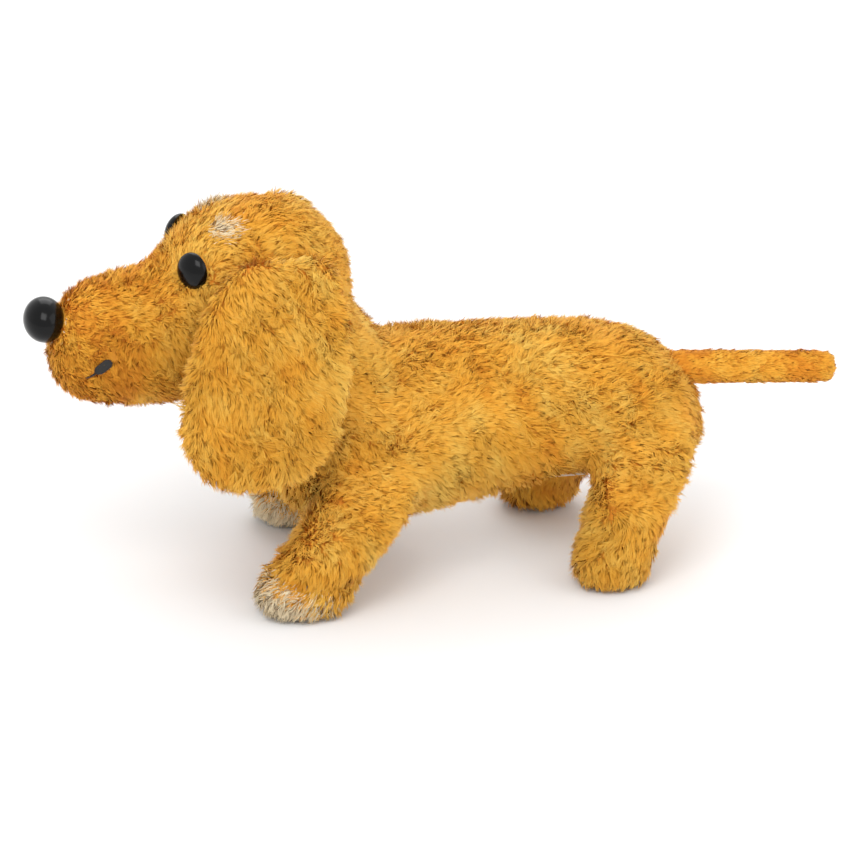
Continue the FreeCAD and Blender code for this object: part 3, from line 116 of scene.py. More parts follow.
# Up Z: height, x, distance out, half length along X, half width along Y.
FORE_LEFT = np.array([
    (0.6, -58, 41.5, 13, 10), (2.5, -58.3, 41.5, 17, 13.2), (7, -58.2, 41.5, 19.4, 14.6),
    (13, -56.2, 41.5, 20.4, 15), (20, -51, 40.5, 20, 15), (30, -42, 38, 20.6, 15.6), (42, -33, 33, 21, 15.5),
    (54, -26, 26, 18.5, 13), (62, -23, 19, 13, 8),
])
FORE_RIGHT = np.array([
    (0.6, -46, 45, 13, 10), (2.5, -46, 45, 17, 13.6), (7, -46, 45, 19, 15.2), (13, -44.5, 45, 19, 15.6),
    (20, -40, 43.5, 18.2, 15.6), (30, -34, 40, 18.4, 16), (42, -29, 34, 19, 15.5), (54, -24, 26, 18, 13),
    (62, -22, 19, 13, 8),
])
HIND_LEFT = np.array([
    (0.6, 67.4, 36.5, 11, 10), (2.5, 67.4, 36.5, 14, 12.4), (7, 67.6, 36.5, 15.6, 13.8),
    (13, 68.4, 36.5, 16.4, 14.2), (22, 71.2, 35, 16.6, 14.2), (34, 76.2, 32, 18.2, 14.6),
    (48, 82.5, 27, 18.8, 13.2), (60, 86.5, 19, 16.5, 9.5), (68, 86, 14, 11, 5),
])
HIND_RIGHT = np.array([
    (0.6, 52, 42.5, 11, 9), (2.5, 52, 42.5, 14, 12), (7, 52.2, 42.5, 15.8, 13.6), (13, 53.6, 42, 16.4, 14.2),
    (22, 59, 39, 16.4, 14.6), (34, 68, 33.5, 17.6, 14.8), (48, 79, 27, 18.6, 13.2), (60, 84, 19, 16.5, 9.5),
    (68, 85, 14, 11, 5),
])
# Out from the hinge: distance, radius.
TAIL = np.array([
    (9.5, 5.2), (13.5, 5.6), (18.5, 5.7), (46.5, 5.5), (70.5, 5.3), (74.1, 4.9), (75.7, 3.6), (76.3, 1.6),
])
# The ear: distance down from its sewn edge, front x, rear x.
EAR = np.array([
    (-2, -78, -50), (2, -85, -45.5), (10, -92.5, -42.5), (22, -99, -40.8), (36, -103, -40),
    (48, -105.2, -40.6), (61, -106, -43), (72, -105, -47.5), (80, -101, -53), (85.6, -95, -60.5),
    (88, -86, -70),
])
EAR_HINGE = (31.5, 147.0)  # distance out and height
EAR_TILT = math.radians(8)
EYE = np.array((-98.5, 19.2, 142.3))  # on the right; mirrored for the left, as the brow is
BROW = np.array((-88.5, 12.5, 155))
NOSE = np.array((-155.5, 0, 117.0))
EYE_GAP, NOSE_GAP = 6.2, (9.6, 10.4, 9.4)  # how near a lock's root may come to their centres
# The mouth's stitched corner and the thin curve that runs on from it: x and z.
MOUTH = np.array([(-131.6, 106.4), (-134.6, 103.6), (-138.2, 100.4)])
MOUTH_TAIL = np.array([(-138.0, 100.4), (-140.0, 98.8), (-141.6, 98.1)])
TAIL_ROOT = np.array((87.5, 0.0, 77.0))
TAIL_DROOP = math.radians(4.5)
OPENING = ((-16.3, -17.8), (60.3, 17.8))  # the belly's opening over the battery door: two corners
OPENING_LOW, OPENING_HIGH = -5, 41
SEAMS = [  # sewn lines that draw the stuffing in: down each hind leg, and over each fore paw
    line * (1, side, 1)
    for side in (1, -1)
    for line in (
        np.array([(80, -31, 82), (74, -37, 59), (71, -46, 35), (66, -49, 27), (58, -46, 22)], float),
        np.array([(-77, -38, 21), (-66, -54, 17), (-50, -57, 15), (-38, -50, 14)], float),
    )
]


# ------------------------------------------------------------------------------
# Surfaces
# ------------------------------------------------------------------------------
def smooth_rows(rows, count):
    """Rows resampled at equal steps of their running distance, on Catmull-Rom curves through every row."""
    rows = np.asarray(rows, float)
    gaps = np.linalg.norm(np.diff(rows, axis=0), axis=1)
    at = np.concatenate([[0], np.cumsum(gaps)])
    want = np.linspace(0, at[-1], count)
    i = np.clip(np.searchsorted(at, want, "right") - 1, 0, len(rows) - 2)
    t = ((want - at[i]) / gaps[i])[:, None]
    padded = np.concatenate([[2 * rows[0] - rows[1]], rows, [2 * rows[-1] - rows[-2]]])
    a, b, c, d = (padded[i + k] for k in range(4))
    return 0.5 * (2 * b + (c - a) * t + (2 * a - 5 * b + 4 * c - d) * t**2 + (3 * b - a - 3 * c + d) * t**3)


def tube_grid(centres, across, up, half_across, half_up, around=48, power=2.0):
    """A tube as a grid: centre + across * a * cos + up * b * sin, with cos and sin flattened to a
    superellipse of the given power. Rows run along the tube and columns round it."""
    angle = np.linspace(0, 2 * np.pi, around, endpoint=False)
    c, s = np.cos(angle), np.sin(angle)
    c, s = np.sign(c) * np.abs(c) ** (2 / power), np.sign(s) * np.abs(s) ** (2 / power)
    a = np.asarray(half_across)[:, None, None] * c[None, :, None]
    b = np.asarray(half_up)[:, None, None] * s[None, :, None]
    return centres[:, None] + across[:, None] * a + up[:, None] * b


def along_x(rows, count=70):
    """The form whose stations lie along X: an oval of half width y and half height z at each x."""
    x, z, wide, high = smooth_rows(rows, count).T
    n = len(x)
    centres = np.stack([x, np.zeros(n), z], 1)
    across, up = np.tile((0.0, 1.0, 0.0), (n, 1)), np.tile((0.0, 0.0, 1.0), (n, 1))
    return tube_grid(centres, across, up, wide, high)


def up_z(rows, side, count=50):
    """A leg, whose stations lie up Z: an oval of half length x and half width y at each height."""
    z, x, out, long, wide = smooth_rows(rows, count).T
    n = len(x)
    centres = np.stack([x, side * out, z], 1)
    across, up = np.tile((1.0, 0.0, 0.0), (n, 1)), np.tile((0.0, 1.0, 0.0), (n, 1))
    return tube_grid(centres, across, up, long, wide, power=2.2)


def up_slope(rows, count=30):
    """The neck, whose stations climb a slope in the plane Y 0: an oval square to the slope at each point."""
    x, z, long, wide = smooth_rows(rows, count).T
    n = len(x)
    centres = np.stack([x, np.zeros(n), z], 1)
    way = np.gradient(centres, axis=0)
    way /= np.linalg.norm(way, axis=1)[:, None]
    up = np.cross(way, (0.0, 1.0, 0.0))
    return tube_grid(centres, np.tile((0.0, 1.0, 0.0), (n, 1)), up, wide, long)


def grid_faces(rows, columns, start=0):
    """Quads of a grid that closes on itself across its columns."""
    r, c = np.meshgrid(np.arange(rows - 1), np.arange(columns), indexing="ij")
    nxt = (c + 1) % columns
    quads = np.stack([r * columns + c, r * columns + nxt, (r + 1) * columns + nxt, (r + 1) * columns + c], -1)
    return quads.reshape(-1, 4) + start


def mesh_from(name, verts, quads, caps=()):
    """A mesh in metres from points in millimetres, quads, and end loops that one face each closes."""
    mesh = bpy.data.meshes.new(name)
    faces = [list(map(int, f)) for f in (*quads, *caps)]
    mesh.from_pydata((np.asarray(verts) * MM).tolist(), [], faces)
    mesh.update()
    obj = bpy.data.objects.new(name, mesh)
    bpy.context.collection.objects.link(obj)
    return obj


def tubes_mesh(name, grids):
    """One mesh from several closed tubes, which may pass through each other."""
    verts, quads, caps, start = [], [], [], 0
    for g in grids:
        rows, columns = g.shape[:2]
        verts.append(g.reshape(-1, 3))
        quads.append(grid_faces(rows, columns, start))
        caps.append(np.arange(columns)[::-1] + start)
        caps.append(np.arange(columns) + start + (rows - 1) * columns)
        start += rows * columns
    return mesh_from(name, np.concatenate(verts), np.concatenate(quads), caps)


def outward(obj):
    """Turns every face of a closed mesh outwards."""
    only(obj)
    bpy.ops.object.mode_set(mode="EDIT")
    bpy.ops.mesh.select_all(action="SELECT")
    bpy.ops.mesh.normals_make_consistent(inside=False)
    bpy.ops.object.mode_set(mode="OBJECT")
    return obj


def only(obj):
    """Makes one object the only selected one, and the active one."""
    for o in bpy.context.selected_objects:
        o.select_set(False)
    obj.select_set(True)
    bpy.context.view_layer.objects.active = obj
    return obj


def apply_all(obj):
    """Applies every modifier of an object, in order."""
    only(obj)
    for m in list(obj.modifiers):
        bpy.ops.object.modifier_apply(modifier=m.name)
    return obj


def smooth_faces(obj):
    """Shades every face smooth."""
    obj.data.polygons.foreach_set("use_smooth", np.ones(len(obj.data.polygons), bool))
    obj.data.update()


def points_of(mesh):
    """A mesh's points, as rows of x, y and z."""
    out = np.empty(len(mesh.vertices) * 3)
    mesh.vertices.foreach_get("co", out)
    return out.reshape(-1, 3)


def normals_of(mesh):
    """The normals at a mesh's points."""
    out = np.empty(len(mesh.vertices) * 3)
    mesh.vertex_normals.foreach_get("vector", out)
    return out.reshape(-1, 3)


def set_points(mesh, points):
    """Moves a mesh's points."""
    mesh.vertices.foreach_set("co", np.asarray(points, float).ravel())
    mesh.update()


# ------------------------------------------------------------------------------
# Noise, directions and distances
# ------------------------------------------------------------------------------
def wave_noise(points, wavelength, seed, waves=14):
    """Noise from about -1 to 1 and its gradient: a sum of sine waves in random directions. points and
    wavelength are in millimetres."""
    rng = np.random.default_rng(seed)
    k = rng.normal(size=(waves, 3))
    k *= (2 * np.pi / wavelength * rng.uniform(0.7, 1.35, waves) / np.linalg.norm(k, axis=1))[:, None]
    phase = points @ k.T + rng.uniform(0, 2 * np.pi, waves)
    scale = 1.3 / math.sqrt(waves)
    return np.sin(phase).sum(1) * scale, (np.cos(phase) @ k) * scale


def unit(v):
    """Each vector at length 1."""
    return v / np.maximum(np.linalg.norm(v, axis=-1, keepdims=True), 1e-9)


def flat_to(v, normals):
    """The part of v that lies along the surface."""
    return v - normals * (v * normals).sum(-1, keepdims=True)


def ease(t):
    """0 to 1 with a soft start and end: 3 t squared less 2 t cubed."""
    return t * t * (3 - 2 * t)


def near(points, centre, radius):
    """1 at the centre, falling smoothly to 0 at the radius. radius may have three values."""
    d = np.linalg.norm((points - np.asarray(centre)) / np.asarray(radius), axis=1)
    return ease(np.clip(1 - d, 0, 1))


def on_side(place, side):
    """A place that is given on the right, or its mirror image on the left."""
    return place * (1, side, 1)


def away_from(points, line, count):
    """Each point's distance to a smooth line through a few places."""
    return np.sqrt(((points[:, None, :] - smooth_rows(line, count)[None]) ** 2).sum(-1)).min(1)


# ------------------------------------------------------------------------------
# Settings
# ------------------------------------------------------------------------------
def colour_setting(name, text, default):
    """A colour that a user may change."""
    return bpy.props.FloatVectorProperty(
        name=name, description=text, subtype="COLOR", size=3, min=0, max=1, default=default)


def length_setting(name, text, default, low, high):
    """A length in metres that a user may change."""
    return bpy.props.FloatProperty(
        name=name, description=text, default=default, min=low, max=high, unit="LENGTH")


class CoatSettings(bpy.types.PropertyGroup):
    """Sizes and colours of the plush."""

    pile: length_setting("Pile", "Length of the pile", 0.0052, 0.001, 0.02)
    strand: length_setting("Strand", "Width of one modelled lock at its root", 0.00046, 0.0002, 0.003)
    density: bpy.props.FloatProperty(
        name="Density", description="Locks on each square millimetre", default=4.6, min=0.2, max=8)
    voxel: length_setting("Voxel", "Size of the voxels that join the stuffed forms", 0.003, 0.002, 0.01)
    light: colour_setting("Tips", "Colour of the lightest tips", (1.0, 0.64, 0.12))
    golden: colour_setting("Golden", "Main colour of the pile", (0.98, 0.47, 0.045))
    deep: colour_setting("Depth", "Colour deep in the pile", (0.82, 0.29, 0.02))
    cream: colour_setting("Cream", "Colour of the brows and toes", (1.0, 0.84, 0.56))


class FaceSettings(bpy.types.PropertyGroup):
    """Colours of the face."""

    black: colour_setting("Black", "Colour of the eyes and the nose", (0.0015, 0.0015, 0.0017))
    thread: colour_setting("Thread", "Colour of the mouth's stitches", (0.01, 0.009, 0.008))
    thread_width: length_setting("Thread width", "Thickness of the mouth's thread", 0.0009, 0.0002, 0.003)


class StageSettings(bpy.types.PropertyGroup):
    """Camera, floor and lights."""

    turn: bpy.props.FloatProperty(
        name="Turn", description="Camera's angle round the dog", default=math.radians(-10), subtype="ANGLE")
    climb: bpy.props.FloatProperty(
        name="Climb", description="Camera's angle above the floor", default=math.radians(25), subtype="ANGLE")
    distance: length_setting("Distance", "Camera's distance", 6, 0.3, 10)
    width: length_setting("Width", "Width of the view at the dog", 0.340, 0.1, 2)
    strength: bpy.props.FloatProperty(
        name="Light", description="Strength of the main light, in watts", default=12, min=0, max=100)


# ------------------------------------------------------------------------------
# Materials
# ------------------------------------------------------------------------------
def new_material(name, colour, rough, **sockets):
    """A material and its shader, with plain values on the shader's own sockets."""
    material = bpy.data.materials.new(name)
    material.use_nodes = True
    shader = material.node_tree.nodes["Principled BSDF"]
    shader.inputs["Base Color"].default_value = (*colour, 1)
    shader.inputs["Roughness"].default_value = rough
    for socket, value in sockets.items():
        shader.inputs[socket.replace("_", " ")].default_value = value
    return material, shader


def ramp(tree, stops, factor):
    """A colour ramp read at a factor. The first two stops take the ramp's own first and last places."""
    node = tree.nodes.new("ShaderNodeValToRGB")
    for i, (at, colour) in enumerate(stops):
        stop = node.color_ramp.elements[i] if i < 2 else node.color_ramp.elements.new(at)
        stop.position = at
        stop.color = (*colour, 1)
    tree.links.new(factor, node.inputs["Fac"])
    return node.outputs["Color"]


def mix(tree, factor, a, b, blend="MIX"):
    """a and b mixed by factor. Each is a socket, a colour or a number."""
    node = tree.nodes.new("ShaderNodeMix")
    node.data_type = "RGBA"
    node.blend_type = blend
    for socket, value in ((node.inputs["Factor"], factor), (node.inputs["A"], a), (node.inputs["B"], b)):
        if isinstance(value, bpy.types.NodeSocket):
            tree.links.new(value, socket)
        else:
            socket.default_value = value if isinstance(value, (int, float)) else (*value, 1)
    return node.outputs["Result"]


def pile_material():
    """Colour from two numbers on each lock: its own tone across the chart, and the way from root to tip up
    it, along which the root is darkened as painted shade deep in the pile. Tones below CREAM_LIMIT are cream."""
    s = bpy.context.scene.dachshund_coat
    material, shader = new_material(
        "plush pile", s.golden, 0.62, Sheen_Weight=0.08, Sheen_Roughness=0.45, Specular_IOR_Level=0.15)
    shader.inputs["Sheen Tint"].default_value = (1, 0.86, 0.62, 1)
    tree = material.node_tree
    chart = tree.nodes.new("ShaderNodeUVMap")
    chart.uv_map = "OFBake"
    split = tree.nodes.new("ShaderNodeSeparateXYZ")
    tree.links.new(chart.outputs["UV"], split.inputs["Vector"])
    tone, way = split.outputs["X"], split.outputs["Y"]
    light, golden, deep, cream = (np.array(c) for c in (s.light, s.golden, s.deep, s.cream))
    deepest, middling = deep * 0.9 + golden * 0.1, golden * 0.6 + light * 0.4
    body = ramp(tree, [(CREAM_LIMIT, light), (1.0, deepest), (0.45, middling), (0.72, golden)], tone)
    whole = ramp(tree, [(0.0, cream * 1.04), (0.205, cream * 0.9)], tone)
    step = tree.nodes.new("ShaderNodeMath")
    step.operation = "GREATER_THAN"
    step.inputs[1].default_value = CREAM_LIMIT
    tree.links.new(tone, step.inputs[0])
    colour = mix(tree, step.outputs[0], whole, body)
    # Painted shade: each lock is darker towards its root and full colour at its tip.
    painted_root_shade = ramp(tree, [(0.0, (0.8, 0.7, 0.6)), (1.0, (1.0, 1.0, 1.0)), (0.45, (0.95, 0.92, 0.9))], way)
    tree.links.new(mix(tree, 1.0, colour, painted_root_shade, "MULTIPLY"), shader.inputs["Base Color"])
    return material


def backing_material():
    """The cloth under the pile: deep orange to golden, mottled and roughened by one noise. Its deep orange
    partly stands in as painted shade in the gaps between the locks.
    """
    s = bpy.context.scene.dachshund_coat
    material, shader = new_material("plush backing", s.deep, 0.85)
    tree = material.node_tree
    place = tree.nodes.new("ShaderNodeTexCoord")
    noise = tree.nodes.new("ShaderNodeTexNoise")
    noise.inputs["Scale"].default_value = 160
    noise.inputs["Detail"].default_value = 4
    tree.links.new(place.outputs["Object"], noise.inputs["Vector"])
    dark, bright = np.array(s.deep), np.array(s.golden)
    # The deep orange end of this mottle is partly painted shade for the gaps between locks.
    mottle = ramp(tree, [(0.35, dark), (0.7, bright)], noise.outputs["Fac"])
    tree.links.new(mottle, shader.inputs["Base Color"])
    bump = tree.nodes.new("ShaderNodeBump")
    bump.inputs["Distance"].default_value = 0.0006
    bump.inputs["Strength"].default_value = 0.6
    tree.links.new(noise.outputs["Fac"], bump.inputs["Height"])
    tree.links.new(bump.outputs["Normal"], shader.inputs["Normal"])
    return material


def speckle_group():
    """Fine mottle and a soft bump for moulded and pressed parts, by Object coordinates."""
    group = bpy.data.node_groups.get("fine mottle")
    if group:
        return group
    group = bpy.data.node_groups.new("fine mottle", "ShaderNodeTree")
    sockets = (
        ("Scale", "Float", "INPUT"), ("Dark", "Color", "INPUT"), ("Light", "Color", "INPUT"),
        ("Rough", "Float", "INPUT"), ("Colour", "Color", "OUTPUT"), ("Roughness", "Float", "OUTPUT"),
        ("Height", "Float", "OUTPUT"),
    )
    for name, kind, way in sockets:
        group.interface.new_socket(name=name, in_out=way, socket_type="NodeSocket" + kind)
    given, made = group.nodes.new("NodeGroupInput"), group.nodes.new("NodeGroupOutput")
    place, noise = group.nodes.new("ShaderNodeTexCoord"), group.nodes.new("ShaderNodeTexNoise")
    noise.inputs["Detail"].default_value = 5
    group.links.new(place.outputs["Object"], noise.inputs["Vector"])
    group.links.new(given.outputs["Scale"], noise.inputs["Scale"])
    colour = mix(group, noise.outputs["Fac"], given.outputs["Dark"], given.outputs["Light"])
    group.links.new(colour, made.inputs["Colour"])
    rough = group.nodes.new("ShaderNodeMath")
    rough.operation = "MULTIPLY_ADD"
    rough.inputs[1].default_value = 0.22
    group.links.new(noise.outputs["Fac"], rough.inputs[0])
    group.links.new(given.outputs["Rough"], rough.inputs[2])
    group.links.new(rough.outputs[0], made.inputs["Roughness"])
    group.links.new(noise.outputs["Fac"], made.inputs["Height"])
    return group


def mottled_material(name, colour, rough, scale=900, bump=0.00004, **sockets):
    """A moulded, pressed or machined finish: its colour and roughness vary a little, with a faint bump. A
    greater scale makes the mottle finer, and bump is in metres."""
    material, shader = new_material(name, colour, rough, **sockets)
    tree = material.node_tree
    node = tree.nodes.new("ShaderNodeGroup")
    node.node_tree = speckle_group()
    node.inputs["Scale"].default_value = scale
    node.inputs["Dark"].default_value = (*[c * 0.86 for c in colour], 1)
    node.inputs["Light"].default_value = (*[min(1, c * 1.1) for c in colour], 1)
    node.inputs["Rough"].default_value = rough - 0.1
    tree.links.new(node.outputs["Colour"], shader.inputs["Base Color"])
    tree.links.new(node.outputs["Roughness"], shader.inputs["Roughness"])
    height = tree.nodes.new("ShaderNodeBump")
    height.inputs["Distance"].default_value = bump
    tree.links.new(node.outputs["Height"], height.inputs["Height"])
    tree.links.new(height.outputs["Normal"], shader.inputs["Normal"])
    return material


def found(name, make):
    """The material of that name, made the first time it is asked for."""
    return bpy.data.materials.get(name) or make()


def pile():
    """The pile's material."""
    return found("plush pile", pile_material)


def backing():
    """The cloth's material."""
    return found("plush backing", backing_material)


def finish(obj, material):
    """Gives a piece one material in place of any that it has."""
    obj.data.materials.clear()
    obj.data.materials.append(material)


# ------------------------------------------------------------------------------
# Pile: locks of fibre that stand on a stuffed form
# ------------------------------------------------------------------------------
def scattered(obj, density, rng):
    """Random points on a mesh, so many for each square millimetre, with the mesh's smooth normals there."""
    mesh = obj.data
    mesh.calc_loop_triangles()
    tri = np.empty(len(mesh.loop_triangles) * 3, int)
    mesh.loop_triangles.foreach_get("vertices", tri)
    tri = tri.reshape(-1, 3)
    p, n = points_of(mesh) / MM, normals_of(mesh)
    a, b, c = (p[tri[:, i]] for i in range(3))
    area = np.linalg.norm(np.cross(b - a, c - a), axis=1) / 2
    count = int(area.sum() * density)
    pick = rng.choice(len(tri), count, p=area / area.sum())
    u, v = rng.random(count), rng.random(count)
    flip = u + v > 1
    u[flip], v[flip] = 1 - u[flip], 1 - v[flip]
    w = 1 - u - v
    t = tri[pick]
    points = p[t[:, 0]] * w[:, None] + p[t[:, 1]] * u[:, None] + p[t[:, 2]] * v[:, None]
    normals = n[t[:, 0]] * w[:, None] + n[t[:, 1]] * u[:, None] + n[t[:, 2]] * v[:, None]
    return points, unit(normals)


def nap(points):
    """The way the pile lies: back and a little down, out from the nose and eyes, and down the legs."""
    x, y, z = points.T
    way = np.tile((1.0, 0.0, -0.35), (len(points), 1))
    low = np.clip((40 - z) / 20, 0, 1)[:, None] * (x[:, None] > -90)
    way = way * (1 - low) + np.array((-0.25, 0.0, -1.0)) * low
    for side in (-1, 1):
        eye = on_side(EYE, side)
        pull = near(points, eye, 17)[:, None]
        way = way * (1 - pull) + unit(points - eye) * pull * 1.3
    pull = near(points, NOSE, 22)[:, None]
    return way * (1 - pull) + unit(points - NOSE) * pull


def tones(points, rng):
    """The mottle of the gold: a middling tone, broad and small patches, and a little of each lock's own."""
    broad = wave_noise(points, 46, 11)[0]
    patch = wave_noise(points, 15, 12)[0]
    tone = 0.56 + 0.08 * broad + 0.09 * patch + rng.normal(0, 0.07, len(points))
    return np.clip(tone, PALEST_TONE, 1.0)


def grow(name, skin, tone_of, length_of, density=1.0, nap_of=nap, keep=None, lie=0.55, seed=1):
    """Locks on a skin: each is a bent, tapered blade of three triangles. It leaves along the normal, leans
    with the nap, and is drawn towards the ridges of two noises, so that locks gather into tufts."""
    s = bpy.context.scene.dachshund_coat
    rng = np.random.default_rng(SEED * 100 + seed)
    thin = 1.0
    root, normal = scattered(skin, s.density * density * thin, rng)
    if keep is not None:
        kept = keep(root)
        root, normal = root[kept], normal[kept]
    count = len(root)
    ridge, slope = wave_noise(root, TUFT, 21)
    wide_ridge, wide_slope = wave_noise(root, CLUMP, 22)
    comb = unit(flat_to(nap_of(root), normal) + 1e-6)
    swirl = flat_to(np.stack([wave_noise(root, SWIRL, 31 + i)[0] for i in range(3)], 1), normal)
    gather = flat_to(slope, normal) * 0.13 + flat_to(wide_slope, normal) * 0.3
    lean = comb * lie + swirl * 0.22 + gather + flat_to(rng.normal(0, 0.12, (count, 3)), normal)
    lean *= np.minimum(1, MOST_LEAN / np.maximum(np.linalg.norm(lean, axis=1), 1e-9))[:, None]
    length = length_of(root) * (1 + 0.14 * ridge) * rng.uniform(0.78, 1.12, count)
    first = unit(normal * LOCK_RISE + lean * 0.45)
    second = unit(normal * LOCK_RISE * 0.42 + lean)
    middle = root + first * (length * BEND)[:, None]
    tip = middle + second * (length * (1 - BEND))[:, None]
    turn = unit(np.cross(second, normal) + 0.45 * rng.normal(size=(count, 3)))
    half = turn * (s.strand / MM / 2 * rng.uniform(0.75, 1.3, count) * math.sqrt(1 / thin))[:, None]
    corners = [root - half, root + half, middle - half * 0.8, middle + half * 0.8, tip]
    verts = np.stack(corners, 1).reshape(-1, 3)
    verts[:, 2] = np.maximum(verts[:, 2], FLOOR_GAP)
    base = np.arange(count)[:, None] * 5
    tris = np.stack([base + (0, 1, 3), base + (0, 3, 2), base + (2, 3, 4)], 1).reshape(-1, 3)
    mesh = bpy.data.meshes.new(name)
    mesh.vertices.add(len(verts))
    mesh.vertices.foreach_set("co", (verts * MM).ravel())
    mesh.loops.add(len(tris) * 3)
    mesh.loops.foreach_set("vertex_index", tris.ravel())
    mesh.polygons.add(len(tris))
    mesh.polygons.foreach_set("loop_start", np.arange(len(tris)) * 3)
    mesh.polygons.foreach_set("use_smooth", np.ones(len(tris), bool))
    mesh.update(calc_edges=True)
    tone = tone_of(root, rng)
    # Painted light and shade: locks on the crests of the tuft noise are paler, and locks in the hollows
    # between tufts are deeper orange.
    tuft_light_and_shade = np.clip(tone - 0.05 * ridge - 0.04 * wide_ridge, PALEST_LOCK, 1.0)
    tone = np.where(tone < CREAM_LIMIT, tone, tuft_light_and_shade)
    chart = mesh.uv_layers.new(name="OFBake")
    across = np.array((-1.0, 1.0, -1.0, 1.0, 0.0)) * 0.003
    along = np.array((0.01, 0.01, 0.46, 0.46, 0.99))
    u = np.clip(tone[:, None] + across, 0.002, 0.998)
    uv = np.stack([u, np.tile(along, (count, 1))], -1).reshape(-1, 2)
    chart.data.foreach_set("uv", uv[tris.ravel()].ravel())
    shading = unit(normal[:, None] * 0.75 + np.stack([first, first, second, second, second], 1) * 0.35)
    mesh.normals_split_custom_set_from_vertices(shading.reshape(-1, 3))
    mesh.materials.append(pile())
    obj = bpy.data.objects.new(name, mesh)
    bpy.context.collection.objects.link(obj)
    print(name, count, "locks")
    return obj


# ------------------------------------------------------------------------------
# The stuffed forms
# ------------------------------------------------------------------------------
def stuffed(obj, voxel, rounds=3, cap=2.4, seams=None):
    """Joins the forms into one skin, smooths it, and puffs it as cloth under pressure, held along
    its seams. No point moves further than cap millimetres."""
    m = obj.modifiers.new("join", "REMESH")
    m.mode = "VOXEL"
    m.voxel_size = voxel
    m = obj.modifiers.new("ease", "SMOOTH")
    m.factor, m.iterations = 0.5, rounds
    apply_all(obj)
    rest = points_of(obj.data)
    held = obj.vertex_groups.new(name="held")
    weight = np.clip(seams(rest / MM) if seams else np.zeros(len(rest)), 0, 1)
    for level in (0.35, 0.7, 1.0):
        chosen = np.nonzero((weight > level - 0.3) & (weight <= level))[0]
        held.add(chosen.tolist(), level, "REPLACE")
    cloth = obj.modifiers.new("fabric", "CLOTH")
    cloth.settings.quality = 5
    cloth.settings.mass = 0.2
    cloth.settings.tension_stiffness = cloth.settings.compression_stiffness = 12
    cloth.settings.bending_stiffness = 0.6
    cloth.settings.use_pressure = True
    cloth.settings.uniform_pressure_force = 4
    cloth.settings.vertex_group_mass = "held"
    cloth.settings.pin_stiffness = 1.0
    cloth.settings.effector_weights.gravity = 0
    cloth.collision_settings.use_collision = False
    cloth.point_cache.frame_end = CLOTH_FRAMES
    scene = bpy.context.scene
    for f in range(1, CLOTH_FRAMES + 1):
        scene.frame_set(f)
    shown = obj.evaluated_get(bpy.context.evaluated_depsgraph_get())
    puffed = points_of(shown.to_mesh())
    shown.to_mesh_clear()
    obj.modifiers.remove(cloth)
    move = puffed - rest
    far = np.linalg.norm(move, axis=1, keepdims=True)
    move *= np.minimum(1, cap * MM / np.maximum(far, 1e-9))
    set_points(obj.data, rest + move * (1 - weight[:, None]))
    scene.frame_set(1)
    print(obj.name, "puffed by up to", round(float(far.max() / MM), 2), "mm")
    return obj


def opened(obj, low, high):
    """Cuts a box, given by two corners in millimetres, out of a closed skin."""
    (x0, y0, z0), (x1, y1, z1) = low, high
    corners = np.array([(x, y, z) for z in (z0, z1) for x, y in ((x0, y0), (x1, y0), (x1, y1), (x0, y1))])
    sides = [(3, 2, 1, 0), (4, 5, 6, 7), (0, 1, 5, 4), (1, 2, 6, 5), (2, 3, 7, 6), (3, 0, 4, 7)]
    cutter = mesh_from("cutter", corners, sides)
    m = obj.modifiers.new("opening", "BOOLEAN")
    m.operation, m.solver, m.object = "DIFFERENCE", "EXACT", cutter
    apply_all(obj)
    bpy.data.objects.remove(cutter)
    return obj


def creased(obj, points, depth, width):
    """Presses sewn lines into a form: every point near the line's points moves in by a smooth hollow."""
    p, n = points_of(obj.data) / MM, normals_of(obj.data)
    d = away_from(p, points, 60)
    set_points(obj.data, (p - n * (depth * np.exp(-((d / width) ** 2)))[:, None]) * MM)
    return obj


def coat_seams(p):
    """The sewn lines that hold the coat: the middle plane, and where each leg meets the belly."""
    middle = np.exp(-((p[:, 1] / 2.2) ** 2))
    leg = np.exp(-((np.abs(p[:, 1]) - 31) ** 2) / 12) * (p[:, 2] < 56) * (p[:, 2] > 34)
    return np.maximum(middle * 0.8, leg * 0.5)


def draw_in(obj, amount):
    """Moves a closed skin in along its normals, in millimetres, to leave room for the pile."""
    set_points(obj.data, points_of(obj.data) - normals_of(obj.data) * amount * MM)
    return obj


def ear_form(side):
    """One ear: a flat pad whose outline is its front and rear x at each drop. Across it, x follows the sine
    of u and the half thickness the square root of its cosine, so the rim is round. The front and rear rims
    curl in more towards the tip, and the top is drawn in to the head."""
    drop, front, rear = smooth_rows(EAR, 60).T
    u = np.linspace(-1, 1, 34)
    middle, half = (front + rear) / 2, (rear - front) / 2
    x = middle[:, None] + half[:, None] * np.sin(u * np.pi / 2)[None]
    rim = np.abs(np.cos(u * np.pi / 2)) ** 0.5
    end = np.clip((drop + 2.6) / 9, 0, 1) ** 0.5 * np.clip((89.2 - drop) / 7, 0, 1) ** 0.5
    thick = 3.6 * rim[None] * end[:, None]
    curl = 2.6 * (np.sin(u * np.pi / 2) ** 2)[None] * np.clip(drop / 60, 0, 1)[:, None]
    sewn = 1 - np.clip(drop / 26, 0, 1)
    depth = 4.5 - curl - 5.2 * ease(sewn)[:, None]
    loops = []
    for sign in (1, -1):
        out = depth + sign * thick
        loops.append(np.stack([x, out, np.broadcast_to(-drop[:, None], x.shape)], -1))
    grid = np.concatenate([loops[0], loops[1][:, ::-1][:, 1:-1]], 1)
    out, down = grid[..., 1].copy(), grid[..., 2].copy()
    grid[..., 1] = side * (EAR_HINGE[0] + out * math.cos(EAR_TILT) - down * math.sin(EAR_TILT))
    grid[..., 2] = EAR_HINGE[1] + down * math.cos(EAR_TILT) + out * math.sin(EAR_TILT)
    return grid


